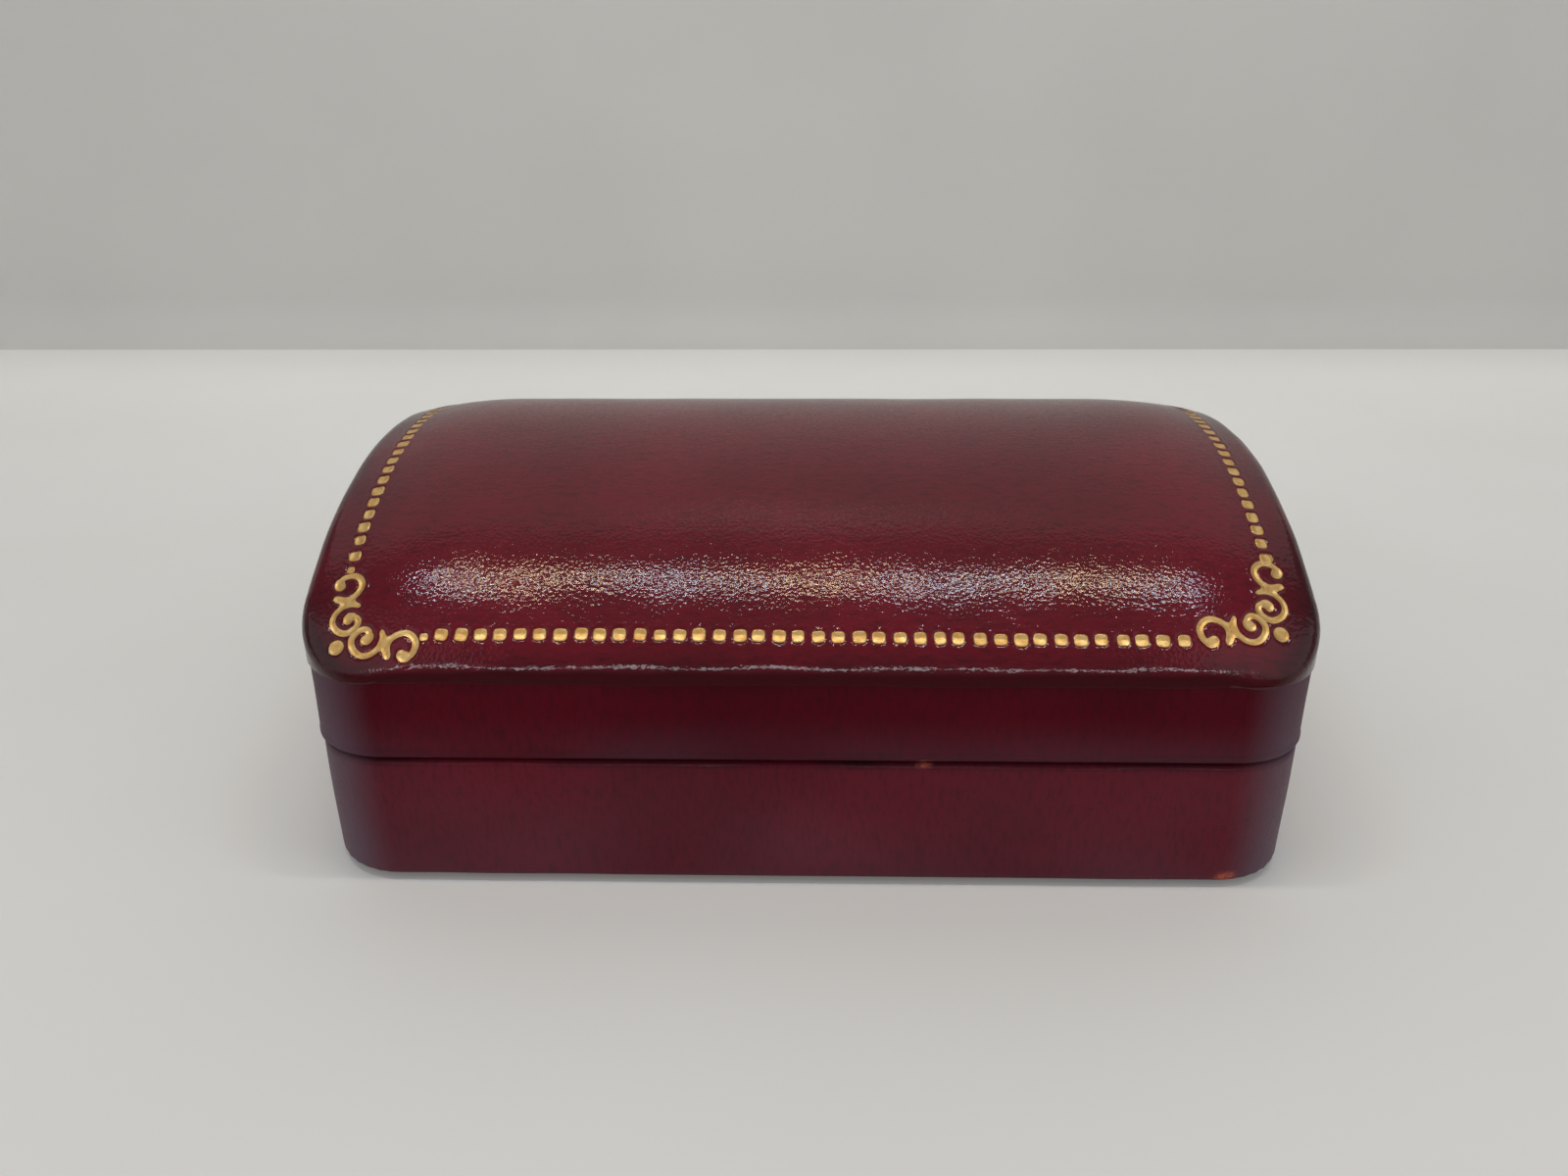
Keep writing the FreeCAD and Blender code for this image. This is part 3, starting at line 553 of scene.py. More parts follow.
@dataclass(frozen=True)
class CalfLeather:
    """Dyed calf, hand burnished and waxed: fine grain, a soft gloss, darker where it was rubbed.

    The wax gives a sheen that breaks into sparks on the grain, and the dye lies a little unevenly.
    The fibres run one way, so the fine creases are stretched along it. Real calf grain is finer than
    a pixel, so grain and tooth are drawn two or three times too coarse. Two tones are painted light:
    a greyer painted sheen where the walls would mirror bright surroundings, and a dark painted shade,
    without the wax coat, under the lid's roll.
    """

    name: str
    deep: str
    bright: str
    burnished: str = "#2c0810"
    # painted sheen: a greyer, paler tone over the dye where the walls would mirror bright surroundings
    painted_sheen_tone: str = "#62505c"
    # painted shade: the dark tone under the lid's roll, where the wax coat is also left off
    under_roll_shade_tone: str = "#3c040d"
    raw: str = "#b5604f"
    gloss: float = 0.46
    refraction: float = 1.2
    wax: float = 0.65
    wax_blur: float = 0.07
    fibre: tuple = (0.35, 1.0, 1.0)
    cloud_size: float = 24.0
    fleck_size: float = 0.55
    crease_size: float = 0.85
    crease_depth: float = 0.020
    grain_size: float = 0.42
    grain_depth: float = 0.016
    tooth_size: float = 0.35
    tooth_depth: float = 0.016

    def material(self) -> bpy.types.Material:
        """Build the node material.

        Returns:
            The material.
        """
        made = Finish(self.name)
        run = made.add(Kind.TURN, {"Vector": made.place, "Scale": self.fibre})
        cloud = made.add(Kind.NOISE, {"Vector": made.place, "Scale": per_mm(self.cloud_size), "Detail": 2.0})
        fleck = made.add(Kind.NOISE, {"Vector": run, "Scale": per_mm(self.fleck_size), "Detail": 4.0,
                                      "Roughness": 0.6})
        crease = made.add(Kind.NOISE, {"Vector": run, "Scale": per_mm(self.crease_size), "Detail": 3.0,
                                       "Distortion": 0.7})
        grain = made.add(Kind.CELLS, {"Vector": made.place, "Scale": per_mm(self.grain_size)})
        tooth = made.add(Kind.NOISE, {"Vector": made.place, "Scale": per_mm(self.tooth_size), "Detail": 2.0})
        # burnish and scuff are marks on the leather; the other two attributes are painted light: a painted
        # sheen and a painted shade under the roll
        burnish, painted_sheen, under_roll_shade, scuff = (made.add(Kind.PAINT, output="Fac", attribute_name=name)
                                       for name in ("burnish", "painted_sheen", "under_roll_shade", "scuff"))

        share = made.add(Kind.RANGE, {VALUE: cloud, LOW: 0.38, HIGH: 0.64})
        dye = made.add(Kind.MIX, {SHARE: share, UNDER: hex_linear(self.deep), OVER: hex_linear(self.bright)},
                       BLEND, **COLOURS)
        share = made.add(Kind.RANGE, {VALUE: fleck, LOW: 0.46, HIGH: 0.74, MOST: 0.5})
        dye = made.add(Kind.MIX, {SHARE: share, UNDER: dye, OVER: hex_linear(self.burnished)},
                       BLEND, **COLOURS)
        share = made.add(Kind.RANGE, {VALUE: fleck, LOW: 0.3, HIGH: 0.7, LEAST: 0.75})
        rubbed = made.add(Kind.MATHS, {FIRST: burnish, SECOND: share}, operation="MULTIPLY")
        share = made.add(Kind.RANGE, {VALUE: tooth, LOW: 0.35, HIGH: 0.6, LEAST: 0.25})
        worn = made.add(Kind.MATHS, {FIRST: scuff, SECOND: share}, operation="MULTIPLY")
        tone_overlays = ((rubbed, self.burnished), (painted_sheen, self.painted_sheen_tone), (under_roll_shade, self.under_roll_shade_tone), (worn, self.raw))
        for share, tone in tone_overlays:
            dye = made.add(Kind.MIX, {SHARE: share, UNDER: dye, OVER: hex_linear(tone)}, BLEND, **COLOURS)

        normal = made.add(Kind.BUMP, {"Height": crease, "Distance": self.crease_depth * MM})
        for height, depth in ((grain, self.grain_depth), (tooth, self.tooth_depth)):
            normal = made.add(Kind.BUMP, {"Height": height, "Distance": depth * MM, "Normal": normal})
        rough = made.add(Kind.RANGE, {VALUE: tooth, LOW: 0.3, HIGH: 0.7, LEAST: self.gloss - 0.06,
                                      MOST: self.gloss + 0.08})
        rough = made.add(Kind.MATHS, {FIRST: rough, SECOND: worn}, operation="ADD", use_clamp=True)
        # The wax coat is left off where the painted shade under the roll lies.
        wax = made.add(Kind.RANGE, {VALUE: under_roll_shade, LEAST: self.wax, MOST: 0.0})
        return made.close(Base_Color=dye, Roughness=rough, Normal=normal, IOR=self.refraction,
                          Coat_Weight=wax, Coat_Roughness=self.wax_blur, Coat_Normal=normal)


@dataclass(frozen=True)
class GoldLeaf:
    """Gold leaf pressed in with a hot tool: bright, dished, worn thin here and there to the leather."""

    name: str = "gold_leaf"
    bright: str = "#f2ca86"
    dull: str = "#d9a75e"
    worn: str = "#6b3524"
    cloud_size: float = 0.8
    speck_size: float = 0.3
    speck_depth: float = 0.012

    def material(self) -> bpy.types.Material:
        """Build the node material.

        Returns:
            The material.
        """
        made = Finish(self.name)
        cloud = made.add(Kind.NOISE, {"Vector": made.place, "Scale": per_mm(self.cloud_size), "Detail": 4.0})
        speck = made.add(Kind.NOISE, {"Vector": made.place, "Scale": per_mm(self.speck_size), "Detail": 3.0,
                                      "Roughness": 0.7})
        share = made.add(Kind.RANGE, {VALUE: cloud, LOW: 0.38, HIGH: 0.66})
        tone = made.add(Kind.MIX, {SHARE: share, UNDER: hex_linear(self.bright), OVER: hex_linear(self.dull)},
                        BLEND, **COLOURS)
        bare = made.add(Kind.RANGE, {VALUE: speck, LOW: 0.66, HIGH: 0.75})
        tone = made.add(Kind.MIX, {SHARE: bare, UNDER: tone, OVER: hex_linear(self.worn)}, BLEND, **COLOURS)
        normal = made.add(Kind.BUMP, {"Height": speck, "Distance": self.speck_depth * MM})
        metal = made.add(Kind.RANGE, {VALUE: bare, LEAST: 0.82, MOST: 0.2})
        rough = made.add(Kind.RANGE, {VALUE: cloud, LOW: 0.3, HIGH: 0.7, LEAST: 0.36, MOST: 0.46})
        return made.close(Base_Color=tone, Metallic=metal, Roughness=rough, Normal=normal)


@dataclass(frozen=True)
class Velvet:
    """Short cotton velvet: a soft pile that brightens at the edges and lies in faint brushed patches.

    A tuft is finer than a pixel, so the pile is drawn about twice too coarse.
    """

    name: str = "champagne_velvet"
    pile: str = "#b7976a"
    brushed: str = "#c2a477"
    shade: str = "#7f6340"
    stroke_size: float = 9.0
    tuft_size: float = 0.3
    tuft_depth: float = 0.12

    def material(self) -> bpy.types.Material:
        """Build the node material.

        Returns:
            The material.
        """
        made = Finish(self.name)
        stroke = made.add(Kind.NOISE, {"Vector": made.place, "Scale": per_mm(self.stroke_size), "Detail": 2.0,
                                       "Distortion": 1.2})
        tuft = made.add(Kind.NOISE, {"Vector": made.place, "Scale": per_mm(self.tuft_size), "Detail": 3.0})
        share = made.add(Kind.RANGE, {VALUE: stroke, LOW: 0.3, HIGH: 0.7})
        tone = made.add(Kind.MIX, {SHARE: share, UNDER: hex_linear(self.pile),
                                   OVER: hex_linear(self.brushed)}, BLEND, **COLOURS)
        share = made.add(Kind.RANGE, {VALUE: tuft, LOW: 0.35, HIGH: 0.65, LEAST: 0.45, MOST: 0.0})
        tone = made.add(Kind.MIX, {SHARE: share, UNDER: tone, OVER: hex_linear(self.shade)}, BLEND, **COLOURS)
        normal = made.add(Kind.BUMP, {"Height": tuft, "Distance": self.tuft_depth * MM})
        return made.close(Base_Color=tone, Roughness=0.95, Normal=normal, IOR=1.4, Sheen_Weight=0.6,
                          Sheen_Roughness=0.4)


@dataclass(frozen=True)
class Brass:
    """Drawn and tumbled brass, dulled by handling: fine drawing lines and brown tarnish in patches."""

    name: str = "drawn_brass"
    clean: str = "#c9a257"
    tarnish: str = "#7a5a2a"
    drawing: tuple = (0.06, 1.0, 1.0)
    line_size: float = 0.15
    line_depth: float = 0.006
    cloud_size: float = 2.5

    def material(self) -> bpy.types.Material:
        """Build the node material.

        Returns:
            The material.
        """
        made = Finish(self.name)
        drawn = made.add(Kind.TURN, {"Vector": made.place, "Scale": self.drawing})
        lines = made.add(Kind.NOISE, {"Vector": drawn, "Scale": per_mm(self.line_size), "Detail": 2.0})
        cloud = made.add(Kind.NOISE, {"Vector": made.place, "Scale": per_mm(self.cloud_size), "Detail": 4.0})
        share = made.add(Kind.RANGE, {VALUE: cloud, LOW: 0.45, HIGH: 0.75, MOST: 0.8})
        tone = made.add(Kind.MIX, {SHARE: share, UNDER: hex_linear(self.clean),
                                   OVER: hex_linear(self.tarnish)}, BLEND, **COLOURS)
        normal = made.add(Kind.BUMP, {"Height": lines, "Distance": self.line_depth * MM})
        rough = made.add(Kind.RANGE, {VALUE: cloud, LOW: 0.3, HIGH: 0.7, LEAST: 0.24, MOST: 0.45})
        return made.close(Base_Color=tone, Metallic=1.0, Normal=normal, Roughness=rough)


@dataclass(frozen=True)
class Beech:
    """Planed beech, left raw under the leather: pale, straight grained, with short dark flecks."""

    name: str = "planed_beech"
    early: str = "#cfa878"
    late: str = "#b3875a"
    fleck: str = "#8a6239"
    straight: tuple = (0.08, 1.0, 1.0)
    ring_size: float = 1.6
    ring_depth: float = 0.03
    fleck_size: float = 0.5

    def material(self) -> bpy.types.Material:
        """Build the node material.

        Returns:
            The material.
        """
        made = Finish(self.name)
        run = made.add(Kind.TURN, {"Vector": made.place, "Scale": self.straight})
        rings = made.add(Kind.NOISE, {"Vector": run, "Scale": per_mm(self.ring_size), "Detail": 5.0})
        flecks = made.add(Kind.CELLS, {"Vector": run, "Scale": per_mm(self.fleck_size)})
        share = made.add(Kind.RANGE, {VALUE: rings, LOW: 0.4, HIGH: 0.62})
        tone = made.add(Kind.MIX, {SHARE: share, UNDER: hex_linear(self.early), OVER: hex_linear(self.late)},
                        BLEND, **COLOURS)
        share = made.add(Kind.RANGE, {VALUE: flecks, LOW: 0.05, HIGH: 0.2, LEAST: 0.6, MOST: 0.0})
        tone = made.add(Kind.MIX, {SHARE: share, UNDER: tone, OVER: hex_linear(self.fleck)}, BLEND, **COLOURS)
        normal = made.add(Kind.BUMP, {"Height": rings, "Distance": self.ring_depth * MM})
        return made.close(Base_Color=tone, Roughness=0.62, Normal=normal, IOR=1.5)


@dataclass(frozen=True)
class Paper:
    """Matt white studio paper, with the faintest unevenness."""

    name: str
    tone: str
    shade: str
    cloud_size: float = 90.0

    def material(self) -> bpy.types.Material:
        """Build the node material.

        Returns:
            The material.
        """
        made = Finish(self.name)
        cloud = made.add(Kind.NOISE, {"Vector": made.place, "Scale": per_mm(self.cloud_size), "Detail": 2.0})
        share = made.add(Kind.RANGE, {VALUE: cloud, LOW: 0.3, HIGH: 0.7})
        tone = made.add(Kind.MIX, {SHARE: share, UNDER: hex_linear(self.tone), OVER: hex_linear(self.shade)},
                        BLEND, **COLOURS)
        return made.close(Base_Color=tone, Roughness=0.6, IOR=1.4)


# Shapes


@dataclass(frozen=True)
class Crown:
    """The lid's top: a barrel that lies along X, its two ends rolled down by an arc."""

    axis: float = -13.4
    barrel: float = 57.0
    level_half: float = 39.0
    roll: float = 62.002

    def arch(self, radius: Measure, across: Array) -> Array:
        """Height of a round about the barrel's axis: axis + sqrt(radius^2 - y^2)."""
        return self.axis + np.sqrt(np.maximum(radius ** 2 - across ** 2, 1.0))

    def radius(self, across: Array) -> Array:
        """Barrel radius at x: level in the middle, then barrel - (roll - sqrt(roll^2 - over^2))."""
        over = np.maximum(np.abs(across) - self.level_half, 0)
        return self.barrel - self.roll + np.sqrt(self.roll ** 2 - over ** 2)

    def height(self, plan: Array) -> Array:
        """Height over plan points."""
        return self.arch(self.radius(plan[..., 0]), plan[..., 1])

    def normal(self, plan: Array) -> Array:
        """Upward unit normals over plan points, from the two slopes.

        Args:
            plan: (..., 2) points.

        Returns:
            The normals, (..., 3).
        """
        over = np.maximum(np.abs(plan[..., 0]) - self.level_half, 0)
        rolled = -np.sign(plan[..., 0]) * over / np.sqrt(self.roll ** 2 - over ** 2)
        radius = self.radius(plan[..., 0])
        rise = self.height(plan) - self.axis
        normal = np.stack([-radius * rolled / rise, plan[..., 1] / rise, np.ones_like(rise)], -1)
        return normal / np.linalg.norm(normal, axis=-1, keepdims=True)

    def skirt(self, plan: Array) -> Array:
        """Height of the top leather's cut edge: level at the walls, an arch at the ends."""
        return np.maximum(self.arch(SIZES.skirt_radius, plan[..., 1]), SIZES.edge_height)


CROWN = Crown()


def spline_through(spots: Array, steps: int) -> Array:
    """Smooth line through flat points.

    Between two points it is the cubic whose slope at each point is half the way between that point's
    neighbours.

    Args:
        spots: (n, 2) points.
        steps: steps between two points.

    Returns:
        Points along the line.
    """
    ends = np.concatenate([2 * spots[:1] - spots[1:2], spots, 2 * spots[-1:] - spots[-2:-1]])
    before, first, last, after = ends[:-3], ends[1:-2], ends[2:-1], ends[3:]
    share = np.linspace(0, 1, steps, endpoint=False)[:, None, None]
    curve = first + 0.5 * share * (last - before + share * (2 * before - 5 * first + 4 * last - after
                                                            + share * (3 * (first - last) + after - before)))
    return np.concatenate([curve.transpose(1, 0, 2).reshape(-1, 2), spots[-1:]])


@dataclass(frozen=True)
class ScrollArm:
    """One arm of a corner scroll, along and across from the corner's dot: a curl, an S and a curl.

    Each spike is its tip, seen from the node, and its half width near the tip.
    """

    stem: float = 0.32
    swell: float = 0.04
    curl_start: float = 0.58
    curl_end: float = 0.60
    node_swell: float = 0.18
    node_reach: float = 0.6
    path: tuple = (
        (2.85, 0.82), (3.28, 0.74), (3.53, 1.24), (3.25, 1.80), (2.74, 1.97), (2.15, 1.72), (1.70, 1.15),
        (1.59, 0.61), (1.75, 0.02), (2.15, -0.55), (2.70, -0.95), (3.33, -1.07), (4.00, -0.88), (4.65, -0.36),
        (5.30, 0.25), (5.95, 0.80), (6.55, 1.22), (7.37, 1.41), (8.10, 1.10), (8.58, 0.45), (8.65, -0.25),
        (8.40, -0.95), (7.92, -1.33), (7.40, -1.15), (7.25, -0.75),
    )
    node: int = 14
    steps: int = 5
    spikes: tuple = (((-0.54, 1.60), 0.20), ((0.59, -1.68), 0.38))
    spike_root: float = 0.52
    spike_bend: float = 0.8
    spike_steps: int = 10
    spike_end: tuple = (0.8, 0.0)

    def ribbons(self) -> list[tuple[Array, Array]]:
        """Centre lines and half widths of the stem and the two spikes.

        The stem swells at the node and ends at both ends in a round bead, sqrt(b^2 - (s - b)^2).

        Returns:
            A line and its half widths for each.
        """
        line = spline_through(np.array(self.path), self.steps)
        run = np.append(0, np.cumsum(np.linalg.norm(np.diff(line, axis=0), axis=1)))
        half = self.stem + self.swell * np.sin(2 * np.pi * run / run[-1]) ** 2
        half = half + self.node_swell * soft_band(run, run[self.node * self.steps], self.node_reach)
        for from_end, blob in ((run, self.curl_start), (run[-1] - run, self.curl_end)):
            bead = np.sqrt(np.maximum(blob ** 2 - (from_end - blob) ** 2, 0))
            half = np.where(from_end < blob, bead, np.maximum(half, bead))
        ribbons = [(line, half)]
        node = np.array(self.path[self.node])
        share = np.linspace(0, 1, self.spike_steps)
        for tip, blunt in self.spikes:
            taper = self.spike_root + (blunt - self.spike_root) * share ** self.spike_bend
            taper[-2:] *= self.spike_end
            ribbons.append((node + share[:, None] * np.array(tip), taper))
        return ribbons


@dataclass(frozen=True)
class CornerPlace:
    """One corner of the gold border: its point on the crown, the directions there and the tool's slip."""

    spot: Array
    inward: Array
    up_arch: Array
    outward: Array
    slip: Array
    tries: int = 5

    def press(self, flat: Array) -> tuple[Array, Array]:
        """Lay flat (inward, up-arch) points on the crown, along the corner's own normal.

        Args:
            flat: (..., 2) points in the corner's tangent plane, from where the tool landed.

        Returns:
            Points on the crown and the crown's normals there.
        """
        flat = flat + self.slip
        points = self.spot + flat[..., :1] * self.inward + flat[..., 1:] * self.up_arch
        for _ in range(self.tries):
            gap = points[..., 2] - CROWN.height(points[..., :2])
            normal = CROWN.normal(points[..., :2])
            fall = gap * normal[..., 2] / (normal @ self.outward)
            points = points - fall[..., None] * self.outward
        return points, CROWN.normal(points[..., :2])

    def flatten(self, points: Array) -> Array:
        """Flat coordinates of points near the corner, from where the tool landed."""
        away = points - self.spot
        return np.stack([away @ self.inward, away @ self.up_arch], -1) - self.slip


@dataclass(frozen=True)
class GoldLine:
    """One line of dashes, along the front or back (over X) or along an end (over the arch)."""

    over_x: bool
    side: int
    along: Array
    across: Array
    sizes: Array


# Power of the rounded square that the wheel's teeth leave.
SQUARENESS = 3.4


def rounded_reach(along: Array, across: Array, sizes: Array) -> Array:
    """Distance outside a rounded square, about: ((a/l)^p + (b/w)^p)^(1/p) - 1, times its size.

    Args:
        along: places along the square from its middle.
        across: places across it.
        sizes: half length and half width.

    Returns:
        One distance for each place, negative inside.
    """
    powers = np.abs(along / sizes[..., 0]) ** SQUARENESS + np.abs(across / sizes[..., 1]) ** SQUARENESS
    return (powers ** (1 / SQUARENESS) - 1) * sizes.mean(-1)


@dataclass(frozen=True)
class GoldTooling:
    """The gold border: dashes along four lines and a scroll with a dot in each corner.

    A corner is named by its sides, (left or right, front or back) as -1 or 1. Jitters are the
    spreads of the dashes along the line, across it and in size.
    """

    pitch: float = 2.085
    length: float = 1.45
    width: float = 1.38
    front_count: int = 38
    side_count: int = 30
    line_y: float = 37.7
    line_x: float = 49.9
    dot: float = 0.84
    dish: float = 0.085
    dish_run: float = 0.36
    crease: float = 0.2
    foot: float = 0.16
    proud: float = 0.01
    bed: float = 0.20
    bed_edge: tuple = (-0.08, 0.12)
    lip: float = 0.045
    lip_place: float = 0.24
    lip_reach: float = 0.17
    join: float = 8.0
    weave: float = 0.08
    stamp_span: tuple = (-1.9, 10.0)
    least_slope: float = 0.3
    seed: int = 7
    front_shift: float = 0.36
    shift: float = 0.1
    jitter: tuple = (0.09, 0.03, 0.05)
    sway: float = 0.2
    sway_length: float = 100.0
    sway_turn: float = 0.07
    sway_rest: float = -0.04
    tile_rings: tuple = (1.0, 1.0, 0.8, 0.55, 0.28, 0.0)
    tile_rise: float = 1.1
    tile_twist: float = 0.05
    tile_depths: tuple = (0.75, 1.2)
    near_line: float = 2.0
    near_corner: float = 13.0
    far: float = 9.0
    arm: ScrollArm = ScrollArm()
    slips: tuple = (((-1, -1), (0.54, -0.24)), ((-1, 1), (0.3, 0.2)), ((1, -1), (0.51, 1.82)),
                    ((1, 1), (0.4, 0.6)))
    part_size: tuple = (0.46, 0.42)
    part_dashes: tuple = (((-1, -1), (9.38, 0.94)), ((-1, -1), (-0.5, 9.45)), ((1, -1), (-0.95, 9.55)))

    @property
    def side_radius(self) -> float:
        """Barrel radius under the side lines."""
        return float(CROWN.radius(np.array(self.line_x)))

    @property
    def side_angle(self) -> float:
        """Angle round the barrel from the top to a corner of the border."""
        return math.asin(self.line_y / self.side_radius)

    @property
    def side_slope(self) -> float:
        """Slope of the rolled end under the side lines."""
        return math.asin((self.line_x - CROWN.level_half) / CROWN.roll)

    @property
    def front_angle(self) -> float:
        """Angle round the barrel from the top to the front line."""
        return math.asin(self.line_y / CROWN.barrel)

    def lines(self) -> list[GoldLine]:
        """The four lines, each dash a little off its place and size, as a wheel leaves them by hand.

        Returns:
            Front, back, left and right.
        """
        rng = np.random.default_rng(self.seed)
        along_jitter, across_jitter, size_jitter = self.jitter
        made = []
        for over_x, count in ((True, self.front_count), (False, self.side_count)):
            for side in (-1, 1):
                shift = self.front_shift if over_x and side < 0 else self.shift
                along = (np.arange(count) - (count - 1) / 2) * self.pitch
                along = along + rng.normal(shift, along_jitter, count)
                turn = along / self.sway_length + self.sway_turn * side
                sway = self.sway * np.sin(2 * np.pi * turn) + self.sway_rest
                across = sway + rng.normal(0, across_jitter, count)
                sizes = np.array([self.length, self.width]) / 2 * rng.normal(1, size_jitter, (count, 2))
                made.append(GoldLine(over_x, side, along, across, sizes))
        return made

    def corners(self) -> dict[tuple[int, int], CornerPlace]:
        """The four corners of the border.

        Returns:
            A place for each corner's two sides.
        """
        slope, angle = self.side_slope, self.side_angle
        made = {}
        for (side, end), slip in self.slips:
            outward = np.array([side * math.sin(slope), end * math.sin(angle) * math.cos(slope),
                                math.cos(angle) * math.cos(slope)])
            up_arch = np.array([0.0, -end * math.cos(angle), math.sin(angle)])
            inward = np.cross(up_arch, outward) * (side * end)
            spot = np.array([side * self.line_x, end * self.line_y,
                             CROWN.axis + self.side_radius * math.cos(angle)])
            made[side, end] = CornerPlace(spot, inward, up_arch, outward, np.array(slip))
        return made

    def scroll_reach(self, flat: Array) -> Array:
        """Distance of flat points outside one corner's scroll and dot, negative inside.

        The parts of an arm are joined by a soft minimum, -log(sum(exp(-k d))) / k, so that the node's
        spikes run into the stem.

        Args:
            flat: (n, 2) points from the dot.

        Returns:
            One distance for each point.
        """
        found = np.linalg.norm(flat, axis=-1) - self.dot
        for spots in (flat, flat[:, ::-1]):
            parts = [(np.linalg.norm(spots[:, None] - line[None], axis=-1) - half[None]).min(1)
                     for line, half in self.arm.ribbons()]
            found = np.minimum(found, -np.log(np.exp(-self.join * np.stack(parts)).sum(0)) / self.join)
        return found

    def gold_reach(self, points: Array) -> Array:
        """Distance of crown points outside the nearest dash, scroll or dot, negative on the gold.

        Args:
            points: (..., 3) points on the crown.

        Returns:
            One distance for each point.
        """
        reach = np.full(points.shape[:-1], self.far)
        radius = CROWN.radius(points[..., 0])
        turn = np.arcsin(np.clip(points[..., 1] / radius, -1, 1))
        for line in self.lines():
            if line.over_x:
                along, beside = points[..., 0], points[..., 1]
                off_line = (np.abs(turn) - self.front_angle) * CROWN.barrel
            else:
                along, beside = turn * self.side_radius, points[..., 0]
                off_line = np.abs(beside) - self.line_x
            near = (beside * line.side > 0) & (np.abs(off_line) < self.near_line)
            nearest = np.abs(along[near][:, None] - line.along[None]).argmin(1)
            found = rounded_reach(along[near] - line.along[nearest], off_line[near] - line.across[nearest],
                                  line.sizes[nearest])
            reach[near] = np.minimum(reach[near], found)
        for key, place in self.corners().items():
            near = np.linalg.norm(points - place.spot, axis=-1) < self.near_corner
            flat = place.flatten(points[near])
            found = self.scroll_reach(flat)
            for part in (spot for corner, spot in self.part_dashes if corner == key):
                away = flat - np.array(part)
                found = np.minimum(found, rounded_reach(away[:, 0], away[:, 1], np.array(self.part_size)))
            reach[near] = np.minimum(reach[near], found)
        return reach

    def pressed(self, points: Array) -> Array:
        """How far the hot tools moved the leather: down under the gold, up in a soft lip round it.

        Args:
            points: (..., 3) points on the crown.

        Returns:
            One move along the normal for each point.
        """
        reach = self.gold_reach(points)
        lip = self.lip * soft_band(reach, self.lip_place, self.lip_reach)
        return lip - self.bed * smooth_step(-reach, *self.bed_edge)

    def tiles(self, spots: Array, normals: Array, along: Array, sizes: Array, depths: Array,
              around: int = 16) -> tuple[Array, list[list[int]]]:
        """Dished tiles: superellipse rings |a|^p + |b|^p = 1 that sink evenly to a crease across them.

        Args:
            spots: (n, 3) centres on the crown.
            normals: (n, 3) normals there.
            along: (n, 3) directions of the tiles' length.
            sizes: (n, 2) half lengths and half widths.
            depths: (n,) depth of each dish.
            around: points in a ring.

        Returns:
            Points and faces of all the tiles.
        """
        along = along - (along * normals).sum(1, keepdims=True) * normals
        along = along / np.linalg.norm(along, axis=1, keepdims=True)
        across = np.cross(normals, along)
        turn = np.linspace(0, 2 * np.pi, around, endpoint=False)
        circle = np.stack([np.cos(turn), np.sin(turn)], 1)
        unit = np.sign(circle) * np.abs(circle) ** (2 / SQUARENESS)
        spread = unit * np.array(self.tile_rings)[:, None, None]
        off_crease = spread[..., 1] - self.crease
        rise = np.maximum(off_crease / (1 - self.crease), -off_crease / (1 + self.crease))
        lift = depths[:, None, None] * (self.tile_rise * rise - 1)
        lift[:, 0] = -self.foot
        flat = sizes[:, None, None] * spread
        points = (spots[:, None, None] + flat[..., :1] * along[:, None, None]
                  + flat[..., 1:] * across[:, None, None] + lift[..., None] * normals[:, None, None])
        tile_points, tile_faces = stack_rings(list(points[0]))
        offsets = np.arange(len(spots)) * len(tile_points)
        faces = (np.array(tile_faces) + offsets[:, None, None]).reshape(-1, 4).tolist()
        return points.reshape(-1, 3), faces

    def dashes(self, finish: bpy.types.Material) -> bpy.types.Object:
        """All the dashes of the four lines, and the part dashes where a line runs into a scroll.

        Args:
            finish: the gold.

        Returns:
            The piece.
        """
        rng = np.random.default_rng(self.seed + 1)
        plans, ways, sizes = [], [], []
        for line in self.lines():
            if line.over_x:
                turn = line.side * (self.front_angle + line.across / CROWN.barrel)
                plans.append(np.stack([line.along, CROWN.barrel * np.sin(turn)], 1))
                ways.append(np.tile([1.0, 0.0, 0.0], (len(turn), 1)))
            else:
                turn = line.along / self.side_radius
                beside = line.side * (self.line_x + line.across)
                plans.append(np.stack([beside, self.side_radius * np.sin(turn)], 1))
                ways.append(np.stack([np.zeros_like(turn), np.cos(turn), -np.sin(turn)], 1))
            sizes.append(line.sizes)
        corners = self.corners()
        for key, flat in self.part_dashes:
            plans.append(corners[key].press(np.array([flat]))[0][:, :2])
            ways.append(np.array([[1.0, 0.0, 0.0]]))
            sizes.append(np.array([self.part_size]))
        plan, along, sizes = (np.concatenate(parts) for parts in (plans, ways, sizes))
        along = along + rng.normal(0, self.tile_twist, along.shape)
        depths = self.dish * rng.uniform(*self.tile_depths, len(plan))
        spots = raised(plan, CROWN.height(plan))
        points, faces = self.tiles(spots, CROWN.normal(plan), along, sizes, depths)
        piece = make_piece("tooled_gold_dashes", points, faces, sharp=180.0)
        tidy_mesh(piece, turn_outward=True)
        return settle(piece, Body.LID, "gold_foil", finish, "gold_border_dashes")

